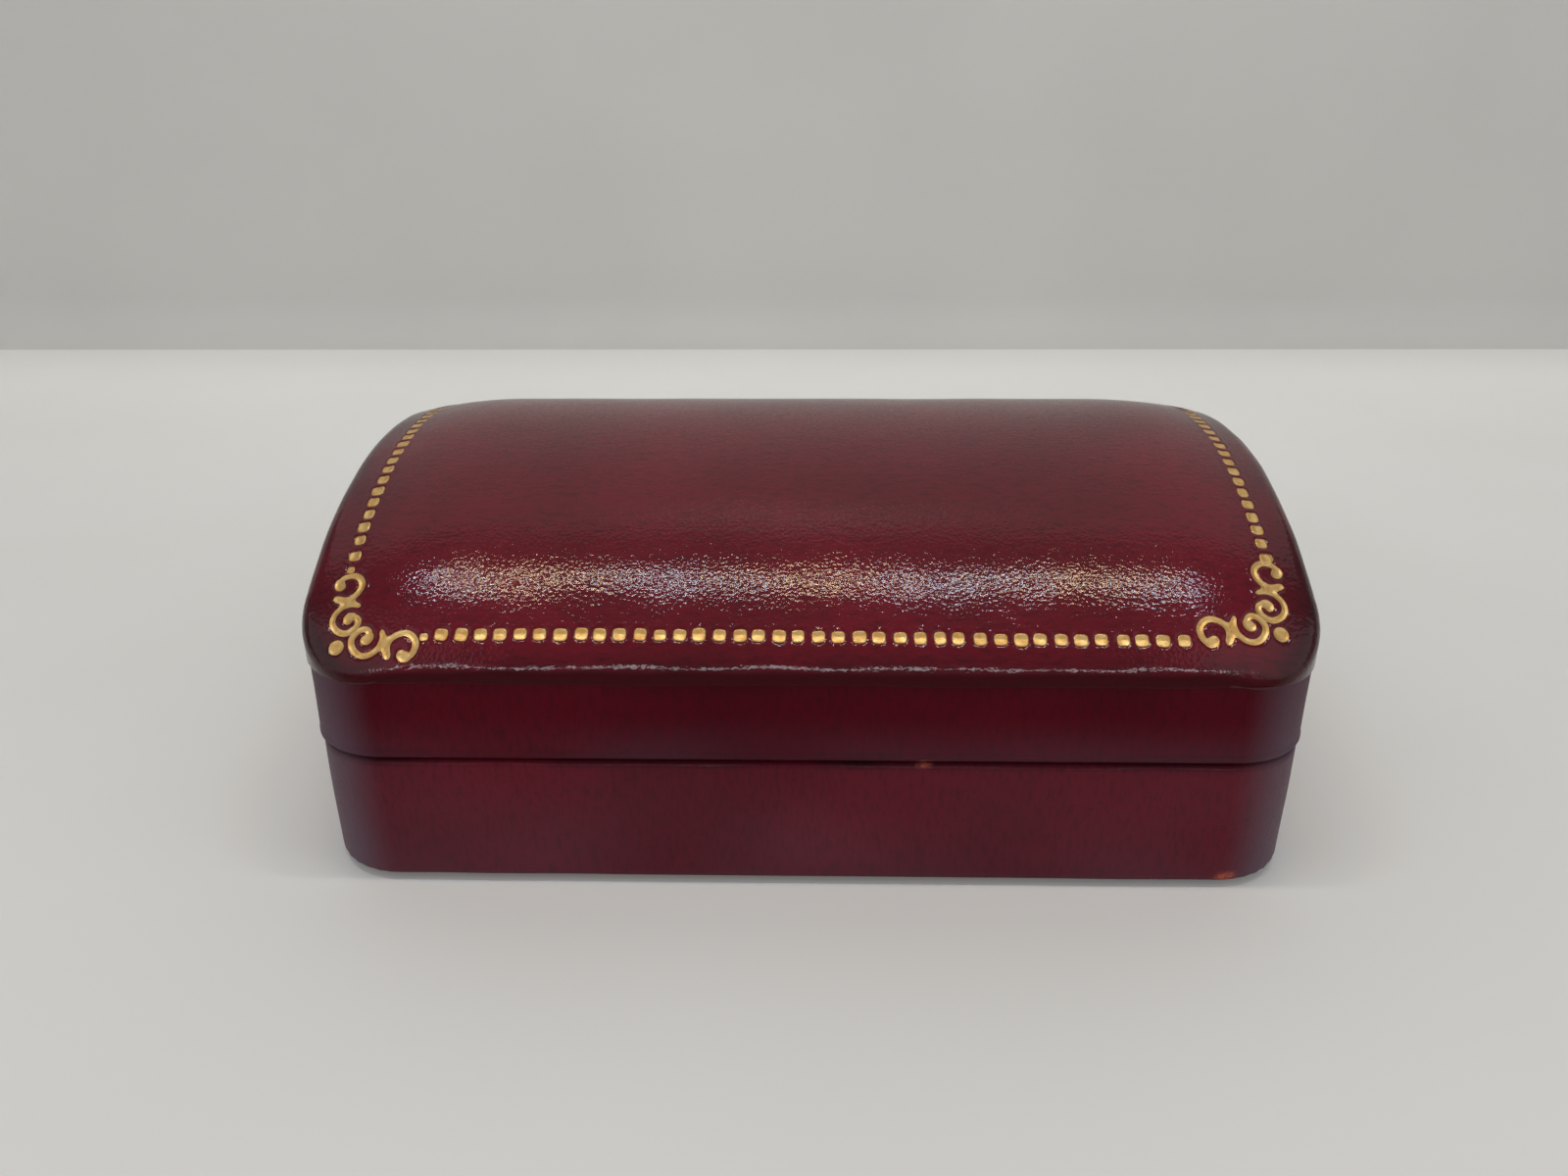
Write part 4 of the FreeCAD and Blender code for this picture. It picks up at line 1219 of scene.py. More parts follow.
    def stamp(self) -> tuple[Array, Array, Array]:
        """Flat mesh of one corner's gold: the cells of a fine grid inside the outline.

        A point on the rim of the kept cells is moved to the outline along the slope g of the distance
        d: p - d g / |g|^2.

        Returns:
            The flat points, how deep each lies inside the outline, and the faces.
        """
        ticks = np.arange(*self.stamp_span, self.weave)
        flat = np.stack(np.meshgrid(ticks, ticks, indexing="ij"), -1)
        reach = self.scroll_reach(flat.reshape(-1, 2)).reshape(flat.shape[:2])
        kept = (reach[:-1, :-1] + reach[1:, :-1] + reach[1:, 1:] + reach[:-1, 1:]) < 0
        number = np.arange(reach.size).reshape(reach.shape)
        cells = np.stack([number[:-1, :-1], number[1:, :-1], number[1:, 1:], number[:-1, 1:]], -1)[kept]
        uses = np.bincount(cells.ravel(), minlength=reach.size)
        slope = np.stack(np.gradient(reach, self.weave), -1).reshape(-1, 2)
        slope /= np.maximum((slope ** 2).sum(1, keepdims=True), self.least_slope)
        flat, reach = flat.reshape(-1, 2), reach.ravel()
        rim = (uses > 0) & (uses < 4)
        flat[rim] -= reach[rim, None] * slope[rim]
        reach[rim] = 0.0
        used, faces = np.unique(cells, return_inverse=True)
        return flat[used], -reach[used], faces.reshape(-1, 4)

    def scrolls(self, finish: bpy.types.Material) -> bpy.types.Object:
        """The corner scrolls and dots: shallow dishes with closed rims, pressed on the crown.

        Args:
            finish: the gold.

        Returns:
            The piece.
        """
        flat, depth, cells = self.stamp()
        sink = self.proud - self.dish * smooth_step(depth, 0.0, self.dish_run)
        sides = np.concatenate([cells[:, [corner, (corner + 1) % 4]] for corner in range(4)])
        _, first, count = np.unique(np.sort(sides, 1), axis=0, return_index=True, return_counts=True)
        rim = sides[first[count == 1]]
        total = len(flat)
        solid = np.concatenate([cells, cells[:, ::-1] + total,
                                np.concatenate([rim[:, ::-1], rim + total], axis=1)])
        points, faces = [], []
        for index, place in enumerate(self.corners().values()):
            spots, normals = place.press(flat)
            points += [spots + normals * sink[:, None], spots - normals * self.foot]
            faces += (solid + 2 * total * index).tolist()
        piece = make_piece("tooled_gold_scrolls", np.concatenate(points), faces, sharp=60.0)
        tidy_mesh(piece, turn_outward=True)
        return settle(piece, Body.LID, "gold_foil", finish, "gold_corner_scrolls")


@dataclass(frozen=True)
class Wear:
    """Marks of use on the leather: the place of each rub and its size."""

    rubs: tuple = (
        ((12.6, -40.0, 15.7), 0.75),
        ((46.4, -39.9, 1.3), 1.0),
        ((-54.7, -33.0, 28.4), 0.55),
        ((-10.6, -2.2, 43.5), 0.45),
        ((-10.2, -1.2, 43.5), 0.35),
        ((54.4, -28.5, 30.0), 0.45),
        ((-31.0, 40.0, 1.4), 0.9),
        ((54.6, 30.0, 15.7), 0.6),
    )
    stretch: tuple = (0.6, 1.0, 1.0)
    core: float = 0.25

    def scuffs(self, points: Array) -> Array:
        """How much of the dye is rubbed off at each point: a soft spot round each mark.

        Args:
            points: (n, 3) points.

        Returns:
            One share for each point.
        """
        worn = np.zeros(len(points))
        for spot, reach in self.rubs:
            away = np.linalg.norm((points - np.array(spot)) * self.stretch, axis=1)
            worn = np.maximum(worn, 1.0 - smooth_step(away, self.core * reach, reach))
        return worn


WEAR = Wear()


@dataclass(frozen=True)
class DomedLid:
    """The leather over the lid's dome, rolled over the edge and cut along the wall."""

    tooling: GoldTooling
    per_pitch: int = 8
    step: float = 0.27
    least_step: float = 0.05
    band: float = 9.3
    coarse: int = 4
    roll_rows: int = 11
    crown_rows: int = 32
    inner_rows: int = 18
    under_rows: int = 9
    under_inset: float = 1.3
    under_drop: float = 1.0
    ridge: float = 0.31
    uneven: float = 0.035
    fine_uneven: float = 0.3
    bead_swell: float = 0.05
    bead_sink: float = 0.03
    cut_sway: float = 0.07
    lip: tuple = ((0.9, 0.0), (0.22, 0.0), (0.06, 0.05), (0.0, 0.2))
    first_slope: float = 0.4
    slope_tries: int = 12
    # painted shade under the roll: the normal angles where it fades out, and how far short of the ends it
    # stops
    shade_normal_angles: tuple = (17.0, 26.0)
    shade_end_margin: float = 2.0
    edge_dark: float = 0.6
    edge_soft: float = 1.5
    corner_inset: float = 3.0
    corner_dark: float = 0.3
    corner_run: float = 7.0
    ends_dark: float = 0.6
    ends_run: tuple = (44.0, 55.0)

    def stations(self) -> Stations:
        """Stations in step with the dashes, so that each dash's bed is the same.

        Returns:
            The closed ring of stations.
        """
        fine = self.tooling.pitch / self.per_pitch
        run = (self.tooling.front_count + 1) / 2 * self.tooling.pitch
        end_x, end_y = SIZES.straight_x, SIZES.straight_y
        rest = np.linspace(run, end_x, int((end_x - run) / self.step) + 1)
        front = np.append(np.arange(0, run, fine), rest)
        front = front[np.append(True, np.diff(front) > self.least_step)]
        front[-1] = end_x
        radius = self.tooling.side_radius
        arc = np.arange(0, (self.tooling.side_count + 1) / 2 * self.tooling.pitch, fine)
        side = radius * np.sin(arc / radius)
        rest = np.linspace(side[-1], end_y, int((end_y - side[-1]) / self.step) + 2)[1:]
        side = np.append(side, rest)[::-1]
        return walk_round(front, side, int(SIZES.corner * np.pi / 2 / self.step))

    def roll_shape(self, stations: Stations) -> tuple[Array, Array]:
        """Slope of the crown where the edge's roll meets it, and the height of the roll's centre.

        A roll of radius r that is tangent to the wall meets a crown of slope a at the inset
        r (1 - sin a), so the slope is found by repeating that.

        Args:
            stations: places round the box.

        Returns:
            The slope and the height at each station.
        """
        slope = np.full(len(stations.core), self.first_slope)
        for _ in range(self.slope_tries):
            normal = CROWN.normal(stations.at(SIZES.edge_round * (1 - np.sin(slope))))
            lean = (normal[:, :2] * stations.outward).sum(1)
            slope = np.arctan2(lean, normal[:, 2])
        plan = stations.at(SIZES.edge_round * (1 - np.sin(slope)))
        return slope, CROWN.height(plan) - SIZES.edge_round * np.cos(slope)

    def outside(self, stations: Stations) -> Array:
        """Rows up the roll and over the crown's edge, uneven as leather is and pressed by the tools.

        Args:
            stations: places round the box.

        Returns:
            The rows, as a (rows, n, 3) array.
        """
        slope, centre = self.roll_shape(stations)
        radius = SIZES.edge_round
        turns = np.linspace(0, 1, self.roll_rows)[:, None] * (np.pi / 2 - slope)
        roll = stations.lift(np.stack([radius * (1 - np.cos(turns)), centre + radius * np.sin(turns)], -1))
        up = np.array([0.0, 0.0, 1.0])
        roll_normal = stations.away * np.cos(turns)[..., None] + up * np.sin(turns)[..., None]
        inset = radius * (1 - np.sin(slope))[None]
        shares = np.linspace(0, 1, self.crown_rows + 1)[1:, None]
        plan = stations.at(inset + (self.band - inset) * shares)
        skin = np.concatenate([roll, raised(plan, CROWN.height(plan))])
        normals = np.concatenate([roll_normal, CROWN.normal(plan)])
        bead = np.concatenate([np.sin(np.pi * turns / (np.pi / 2 - slope)), np.zeros_like(inset) * shares])
        push = self.uneven * waves(skin, length=19, seed=3)
        push = push + self.fine_uneven * self.uneven * waves(skin, length=7, seed=4)
        push = push + bead * (self.bead_swell * waves(skin, length=9, seed=5) - self.bead_sink)
        push = push + self.tooling.pressed(skin)
        push[0] = np.minimum(push[0], 0)
        return skin + push[..., None] * normals

    def rings(self) -> list[Array]:
        """Rings from the middle of the underside, out to the cut edge, over the roll to the top.

        Returns:
            Arrays of (n, 3) points.
        """
        stations = self.stations()
        skin = self.outside(stations)
        outline = stations.at(0.0)
        cut = CROWN.skirt(outline) + self.cut_sway * waves(outline, length=13, seed=21)
        lip = np.array(self.lip)
        edge = stations.lift(np.stack([np.tile(lip[:, :1], (1, len(cut))), cut + lip[:, 1:]], -1))
        last = skin[-1, ::self.coarse]
        shares = np.linspace(0, 1, self.inner_rows + 1)[1:, None, None]
        inner = last + (last * (self.ridge, 0.0, 0.0) - last) * shares
        inner[..., 2] = CROWN.height(inner[..., :2])
        inner[..., 2] += self.uneven * waves(inner, length=19, seed=3) * (1 - shares[..., 0] ** 2)
        under_edge = stations.at(self.under_inset)[::self.coarse]
        shares = np.linspace(0, 1, self.under_rows)[:, None, None]
        under = under_edge * (self.ridge, 0.0) * (1 - shares) + under_edge * shares
        under = raised(under, CROWN.height(under) - self.under_drop)
        return [*under, *edge, *skin, *inner]

    def build(self, finish: bpy.types.Material) -> bpy.types.Object:
        """Make the leather, burnished darker along the edge, with a painted shade under the roll at front and
        back.

        Args:
            finish: the leather.

        Returns:
            The piece.
        """
        points, faces = stack_rings(self.rings())
        piece = make_piece("domed_lid_leather", points, faces)
        tidy_mesh(piece)
        points = points_of(piece)
        inset = edge_distance(points[:, :2])
        corners = (SIZES.half_width - self.corner_inset, SIZES.half_depth - self.corner_inset)
        from_corner = np.linalg.norm(np.abs(points[:, :2]) - corners, axis=1)
        edge = self.edge_dark * soft_band(np.maximum(inset, 0), 0.0, self.edge_soft)
        edge = edge + self.corner_dark * np.exp(-from_corner / self.corner_run)
        ends = self.ends_dark * smooth_step(np.abs(points[:, 0]), *self.ends_run)
        normals = np.zeros(len(points) * 3, np.float32)
        piece.data.vertices.foreach_get("normal", normals)
        # Painted shade: the roll's underside, facing down, along the front and back gets the dark under-roll
        # tone and no wax.
        low, high = (math.sin(math.radians(angle)) for angle in self.shade_normal_angles)
        under = 1 - smooth_step(normals[2::3], low, high)
        straight = 1 - smooth_step(np.abs(points[:, 0]), SIZES.straight_x, SIZES.half_width - self.shade_end_margin)
        paint(piece, "burnish", (edge + ends) * (0.8 + 0.25 * waves(points, length=11, seed=6)))
        paint(piece, "under_roll_shade", under * straight * (inset < SIZES.edge_round))
        paint(piece, "scuff", WEAR.scuffs(points))
        return settle(piece, Body.LID, "burgundy_leather", finish, "lid_top_leather")


def seat_hinges(points: Array, up: float) -> Array:
    """Cut the hinge seats into a strip: the leaves' recesses in the rim and the barrels' grooves.

    Args:
        points: (rows, n, 3) points of the strip.
        up: 1 for the lid, whose leather lies over the axis, and -1 for the base.

    Returns:
        The points, moved off the leaves and out of the grooves.
    """
    points = points.copy()
    from_middle = np.abs(np.abs(points[..., 0]) - SIZES.hinge_x)
    back = points[..., 1] > SIZES.hinge_y - SIZES.leaf_reach
    low = (points[..., 2] - SIZES.seam) * up < SIZES.leaf_depth
    leaf = back & (from_middle < SIZES.leaf_half) & low & (points[..., 1] < SIZES.hinge_y)
    points[..., 2] = np.where(leaf, SIZES.seam + up * SIZES.leaf_depth, points[..., 2])
    away = np.stack([points[..., 1] - SIZES.hinge_y, points[..., 2] - SIZES.seam], -1)
    reach = np.linalg.norm(away, axis=-1)
    groove = back & (from_middle < SIZES.hinge_half) & (reach < SIZES.groove)
    away = away / np.maximum(reach, TINY)[..., None] * SIZES.groove
    points[..., 1] = np.where(groove, SIZES.hinge_y + away[..., 0], points[..., 1])
    points[..., 2] = np.where(groove, SIZES.seam + away[..., 1], points[..., 2])
    return points


def bevel_corners(stations: Stations, face: Measure, rim: Array, up: float,
                  soft: float) -> tuple[Array, Array]:
    """The two corners of a rim: square with a soft edge, and sloped away from the hinges at the back.

    Args:
        stations: places round the box.
        face: inset of the outer face.
        rim: height of the rim.
        up: 1 for the lid and -1 for the base.
        soft: size of the soft edge.

    Returns:
        The corner on the rim and the corner on the face, as (inset, height) arrays.
    """
    least_facing = 0.2
    across = stations.at(face)[:, 1]
    slope = SIZES.bevel_slope * (across - SIZES.hinge_y) + SIZES.stop_gap
    lift = np.maximum(slope - np.abs(SIZES.seam - rim), 0)
    run = lift / SIZES.bevel_slope / np.maximum(stations.outward[:, 1], least_facing)
    on_rim = stations.corner(face + np.maximum(run, soft), rim)
    return on_rim, stations.corner(face, rim + up * np.maximum(lift, soft))


@dataclass(frozen=True)
class WallCover:
    """A strip of leather round a wall, turned over the rim and in.

    The lid's strip is folded over its rim and fills out a little there, but not at the hinges. The
    base's strip tapers to the bottom and is gathered in pleats under its corners.
    """

    uneven: float = 0.04
    lid_edge: float = 0.22
    base_edge: float = 0.42
    sag: float = 0.55
    sag_run: tuple = (-30.0, -5.0)
    end_skin: float = 0.05
    tuck: float = 0.12
    fold: float = 0.08
    fold_height: float = 0.95
    fold_soft: float = 0.12
    fold_dark: float = 0.4
    flare: float = 0.05
    flare_run: float = 6.0
    clear_hinges: tuple = (-36.0, -28.0)
    taper: float = 0.16
    taper_run: tuple = (-12.0, -1.0)
    gather: float = 0.06
    pleats: int = 36
    pleat_reach: float = 0.9
    under_lap: float = 0.8
    face_slack: float = 0.02
    shown_inset: float = 1.2
    shown_drop: float = 0.3
    rim_dark: float = 0.7
    rim_soft: float = 0.6
    edge_dark: float = 0.3
    edge_soft: float = 1.2
    fold_place: float = 0.98
    fold_line: float = 0.16
    turn_dark: float = 0.2
    # painted sheen: a greyer tone on the upright corners and towards the bottom of the wall, standing in for
    # their reflection of bright surroundings and floor
    corner_sheen: float = 0.7
    corner_sheen_power: float = 1.5
    low_sheen: float = 0.16
    low_sheen_run: float = 6.0
    pared: tuple = ((0.5, 0.0), (0.15, 0.04), (0.0, 0.2))
    panel_middle: float = 0.2
    panel_dark: float = 0.5
    panel_fade: float = 2.0

    def rim_line(self, stations: Stations, rim: float) -> Array:
        """Height of a rim at each station: it sags a little towards the front, away from the hinges."""
        return rim - self.sag * smooth_step(-stations.at(0.0)[:, 1], *self.sag_run)

    @staticmethod
    def profile(stations: Stations, spots: Sequence, rounds: Sequence[float], runs: Sequence[int],
                bend_steps: int = 4) -> Array:
        """Rows of a strip's profile.

        Args:
            stations: places round the box.
            spots: for each corner, an array for the stations or one inset and height.
            rounds: rounding distance of each corner.
            runs: number of steps in the straight run after each corner.
            bend_steps: steps round each corner.

        Returns:
            The rows, as a (rows, n, 2) array.
        """
        corners = [spot if isinstance(spot, np.ndarray) else stations.corner(*spot) for spot in spots]
        return bent_profile(corners, rounds, runs, bend_steps)

    def burnish(self, piece: bpy.types.Object, turn: Array, rim: Array, low: float,
                fold: float = 0.0) -> None:
        """Darken the strip along its rim, its fold and its other edge, and paint a sheen on its upright
        corners and low down.

        Args:
            piece: the strip.
            turn: how far each point lies round an upright corner, 0 to 1.
            rim: height of the rim at each point.
            low: height of the other edge.
            fold: darkness of the line where the leather is folded over the rim.
        """
        points = points_of(piece)
        height = points[:, 2]
        rims = self.rim_dark * soft_band(height, rim, self.rim_soft)
        rims = rims + self.edge_dark * soft_band(height, low, self.edge_soft)
        rims = rims + fold * soft_band(height - rim, self.fold_place, self.fold_line)
        mottle = 0.8 + 0.3 * waves(points, length=10, seed=8)
        paint(piece, "burnish", (rims + self.turn_dark * turn) * mottle)
        # Painted reflection: greyer towards the bottom, where the walls mirror the floor, and on the upright
        # corners.
        lower = self.low_sheen * smooth_step(-height, -rim - self.low_sheen_run, -np.minimum(rim, low))
        lower = lower * (1 + 0.3 * waves(points, length=14, seed=9))
        paint(piece, "painted_sheen", self.corner_sheen * turn ** self.corner_sheen_power + lower)
        paint(piece, "scuff", WEAR.scuffs(points))

    def lid(self, finish: bpy.types.Material) -> bpy.types.Object:
        """The strip round the lid's wall, up to the cut edge of the top leather.

        Args:
            finish: the leather.

        Returns:
            The piece.
        """
        stations = wall_stations()
        rim = self.rim_line(stations, SIZES.lid_rim)
        face = SIZES.lid_skin - self.end_skin * smooth_step(np.abs(stations.outward[:, 0]), 0.1, 0.8)
        wood, inside, thick = SIZES.lid_wood, SIZES.lid_inside, SIZES.leather
        top = CROWN.skirt(stations.at(0.0)) + self.tuck
        on_rim, on_face = bevel_corners(stations, face, rim, 1, self.lid_edge)
        spots = [(inside, rim + SIZES.turn_in), (inside, rim), on_rim, on_face, (face, top), (wood, top),
                 (wood, rim + thick), (inside - thick, rim + thick), (inside - thick, rim + SIZES.turn_in)]
        rounds = [0.1, 0.4, 0.3, 0.3, 0.02, 0.1, 0.1, 0.1, 0.1]
        runs = [3, 9, 5, 40, 1, 1, 1, 1, 1]
        rows = self.profile(stations, spots, rounds, runs)
        points = stations.lift(rows)
        outer = rows[..., 0] < face + self.face_slack
        fold = self.fold * smooth_step(rim + self.fold_height - rows[..., 1], -self.fold_soft, self.fold_soft)
        flare = self.flare * smooth_step(-rows[..., 1], -rim - self.flare_run, -rim)
        full = (fold + flare) * smooth_step(-points[..., 1], *self.clear_hinges)
        push = np.where(outer, full + self.uneven * (waves(points, length=17, seed=11) - 1.0), 0)
        points = seat_hinges(points + push[..., None] * stations.away, 1)
        piece = make_piece("lid_wall_leather_strip", points.reshape(-1, 3), loop_faces(*rows.shape[:2]))
        turn, rims = (np.tile(values, rows.shape[0]) for values in (stations.turn, rim))
        self.burnish(piece, turn, rims, SIZES.edge_height, self.fold_dark)
        return settle(piece, Body.LID, "burgundy_leather", finish, "lid_wall_leather")

    def base(self, finish: bpy.types.Material) -> bpy.types.Object:
        """The strip round the base's wall, turned under the bottom edge with gathered corners.

        Args:
            finish: the leather.

        Returns:
            The piece.
        """
        stations = wall_stations()
        rim = self.rim_line(stations, SIZES.base_rim)
        face, low = SIZES.base_skin, SIZES.bottom_panel
        wood, inside, thick = SIZES.base_wood, SIZES.base_inside, SIZES.leather
        on_rim, on_face = bevel_corners(stations, face, rim, -1, self.base_edge)
        under = face + SIZES.bottom_margin + self.under_lap
        spots = [(under, low), (face, low), on_face, on_rim, (inside, rim), (inside, rim - SIZES.turn_in),
                 (inside - thick, rim - SIZES.turn_in), (inside - thick, rim - thick), (wood, rim - thick),
                 (wood, low + thick), (under, low + thick)]
        rounds = [0.1, SIZES.bottom_round * 1.15, 0.3, 0.3, 0.4, 0.1, 0.1, 0.1, 0.1, 0.1, 0.1]
        runs = [4, 20, 5, 9, 3, 1, 1, 1, 1, 1, 1]
        rows = self.profile(stations, spots, rounds, runs, bend_steps=5)
        points = stations.lift(rows)
        shown = (rows[..., 0] < face + self.shown_inset) & (rows[..., 1] < rim - self.shown_drop)
        lean = np.arctan2(stations.outward[:, 1], stations.outward[:, 0])
        pleats = self.gather * stations.turn * np.sin(self.pleats * lean)
        gather = pleats * soft_band(rows[..., 1], low, self.pleat_reach)
        taper = self.taper * smooth_step(-rows[..., 1], *self.taper_run)
        push = np.where(shown, gather - taper + self.uneven * (waves(points, length=18, seed=12) - 1.0), 0)
        points = seat_hinges(points + push[..., None] * stations.away, -1)
        piece = make_piece("base_wall_leather_strip", points.reshape(-1, 3), loop_faces(*rows.shape[:2]))
        turn, rims = (np.tile(values, rows.shape[0]) for values in (stations.turn, rim))
        self.burnish(piece, turn, rims, low)
        return settle(piece, Body.BASE, "burgundy_leather", finish, "base_wall_leather")

    def bottom(self, finish: bpy.types.Material) -> bpy.types.Object:
        """The flat panel under the base, its edge pared thin and a little rounded.

        Args:
            finish: the leather.

        Returns:
            The piece.
        """
        stations = wall_stations(30, 20, 16)
        edge, top = SIZES.base_face + SIZES.bottom_margin, SIZES.bottom_panel
        middle = stations.at(edge) * (self.panel_middle, 0.0)
        rings = [stations.lift(stations.corner(edge + inset, height))
                 for inset, height in (*self.pared, (0.0, top))]
        rings = [raised(middle, 0.0), *rings, raised(middle, top)]
        piece = make_piece("base_bottom_leather_panel", *stack_rings(rings))
        tidy_mesh(piece)
        points = points_of(piece)
        inset = edge_distance(points[:, :2]) - edge
        paint(piece, "burnish", self.panel_dark * np.exp(-inset / self.panel_fade))
        paint(piece, "scuff", np.zeros(len(points)))
        return settle(piece, Body.BASE, "bottom_leather", finish, "base_bottom_leather")


@dataclass(frozen=True)
class VelvetInside:
    """The velvet inside: strips round both walls, a pad on the floor and a pad under the dome."""

    floor_top: float = 3.6
    pad_height: float = 2.6
    pad_gap: float = 0.3
    pad_room: float = 0.35
    pad_edge: float = 0.5
    pad_soft: float = 0.6
    pad_over: float = 0.25
    pad_crown: float = 0.55
    pad_crown_run: float = 9.0
    floor_fill: float = 0.9
    dome_pad_face: float = 51.5
    dome_pad_back: float = 53.05
    dome_slack: float = 0.1
    dome_plump: float = 0.5
    dome_over: float = 0.3
    dome_lower: float = 0.99
    dome_steps: int = 8
    dome_crown: float = 0.35
    dome_crown_run: float = 8.0
    dome_fill: float = 0.6
    middle: float = 0.3
    rim_drop: float = 1.0
    fullness: float = 0.14
    uneven: float = 0.03
    model_scale: float = 10.0
    voxel: float = 11.0
    pressure: float = 4.0
    frames: int = 20

    def strip(self, name: str, stations: Stations, face: float, low: Array, high: Array) -> bpy.types.Object:
        """A soft strip between two heights, its shown side a little full.

        Args:
            name: the piece's name.
            stations: places round the box.
            face: inset of the wooden wall's inside.
            low: height of the lower edge at each station.
            high: height of the upper edge at each station.

        Returns:
            The piece, not yet dressed.
        """
        back, front = face + SIZES.glue, face + SIZES.glue + SIZES.lining
        spots = ((back, high), (front, high), (front, low), (back, low))
        rounds, runs = [0.1, 0.5, 0.4, 0.1], [2, 14, 2, 2]
        rows = WallCover.profile(stations, spots, rounds, runs)
        points = stations.lift(rows)
        share = np.clip((rows[..., 1] - low) / np.maximum(high - low, 0.1), 0, 1)
        full = self.fullness * np.sin(np.pi * share) + self.uneven * waves(points, length=8, seed=14)
        full = np.where(rows[..., 0] > front - 0.02, full, 0)
        points = points - full[..., None] * stations.away
        piece = make_piece(name, points.reshape(-1, 3), loop_faces(*rows.shape[:2]), sharp=180.0)
        tidy_mesh(piece, turn_outward=True)
        return piece

    def wall_strips(self, finish: bpy.types.Material) -> None:
        """The strips round the base's wall and the lid's wall.

        Args:
            finish: the velvet.
        """
        stations = wall_stations(46, 32, 12)
        full = np.zeros(len(stations.core))
        piece = self.strip("base_velvet_strip", stations, SIZES.base_inside, full + self.floor_top,
                           full + SIZES.base_rim - self.rim_drop)
        settle(piece, Body.BASE, "velvet", finish, "base_wall_lining")
        top = CROWN.arch(self.dome_pad_face - self.dome_slack, stations.at(SIZES.lid_inside)[:, 1])
        piece = self.strip("lid_velvet_strip", stations, SIZES.lid_inside,
                           full + SIZES.lid_rim + self.rim_drop, top)
        settle(piece, Body.LID, "velvet", finish, "lid_wall_lining")

    def plump(self, piece: bpy.types.Object, cap: float) -> None:
        """Fill a pad as cloth is filled: skin it evenly, blow it up gently and keep the result.

        The pad is simulated ten times its size, because cloth this small is too stiff to move.

        Args:
            piece: a closed shape, a little smaller than the pad.
            cap: the furthest that a point may move, in millimetres.
        """
        scene = bpy.context.scene
        piece.data.transform(Matrix.Scale(self.model_scale, 4))
        skin = piece.modifiers.new("skin", "REMESH")
        skin.mode = "VOXEL"
        skin.voxel_size = self.voxel * MM
        skinned = bpy.data.meshes.new_from_object(piece.evaluated_get(bpy.context.evaluated_depsgraph_get()))
        piece.modifiers.clear()
        piece.data = skinned
        before = points_of(piece)
        after = before
        cloth = piece.modifiers.new("filling", "CLOTH")
        cloth.settings.use_pressure = True
        cloth.settings.uniform_pressure_force = self.pressure
        cloth.settings.effector_weights.gravity = 0.0
        cloth.point_cache.frame_start, cloth.point_cache.frame_end = 1, self.frames
        for number in range(1, self.frames + 1):
            scene.frame_set(number)
        after = points_of(piece.evaluated_get(bpy.context.evaluated_depsgraph_get()))
        piece.modifiers.clear()
        scene.frame_set(1)
        move = after - before
        length = np.linalg.norm(move, axis=1, keepdims=True)
        move *= np.minimum(1, cap * self.model_scale / np.maximum(length, TINY))
        piece.data.polygons.foreach_set("use_smooth", np.ones(len(piece.data.polygons), bool))
        put_points(piece, (before + move) / self.model_scale)

    @staticmethod
    def fit_in(piece: bpy.types.Object, points: Array, edge: float) -> None:
        """Give a pad its last points, kept off the walls, and smooth it by one subdivision.

        Args:
            piece: the pad.
            points: its changed points.
            edge: inset of the walls.
        """
        for axis, half in enumerate((SIZES.half_width, SIZES.half_depth)):
            points[:, axis] = np.clip(points[:, axis], -(half - edge), half - edge)
        put_points(piece, points)
        smooth = piece.modifiers.new("smooth", "SUBSURF")
        smooth.levels = smooth.render_levels = 1

    def floor_pad(self, finish: bpy.types.Material) -> bpy.types.Object:
        """The pad on the floor: full in the middle, flat underneath where it lies.

        Args:
            finish: the velvet.

        Returns:
            The piece.
        """
        stations = wall_stations(40, 28, 10)
        edge = SIZES.base_inside + SIZES.glue + SIZES.lining + self.pad_gap
        start = edge + self.pad_room
        middle = stations.at(start) * (self.middle, 0.0)
        low, high = self.floor_top, self.floor_top + self.pad_height - self.pad_crown
        sides = ((start + self.pad_soft, low), (start, low + self.pad_edge),
                 (start, high - self.pad_soft), (start + self.pad_edge, high))
        rings = [stations.lift(stations.corner(inset, height)) for inset, height in sides]
        rings = [raised(middle, low), *rings, raised(middle, high)]
        piece = make_piece("floor_velvet_pad", *stack_rings(rings))
        tidy_mesh(piece)
        self.plump(piece, self.floor_fill)
        points = points_of(piece)
        inset = np.maximum(edge_distance(points[:, :2]) - edge, 0)
        crown = self.pad_crown * (1 - np.exp(-inset / self.pad_crown_run))
        crown = crown * smooth_step(points[:, 2], low + self.pad_soft, high)
        points[:, 2] = np.clip(points[:, 2] + crown, low, low + self.pad_height + self.pad_over)
        self.fit_in(piece, points, edge)
        return settle(piece, Body.BASE, "velvet", finish, "base_floor_pad")

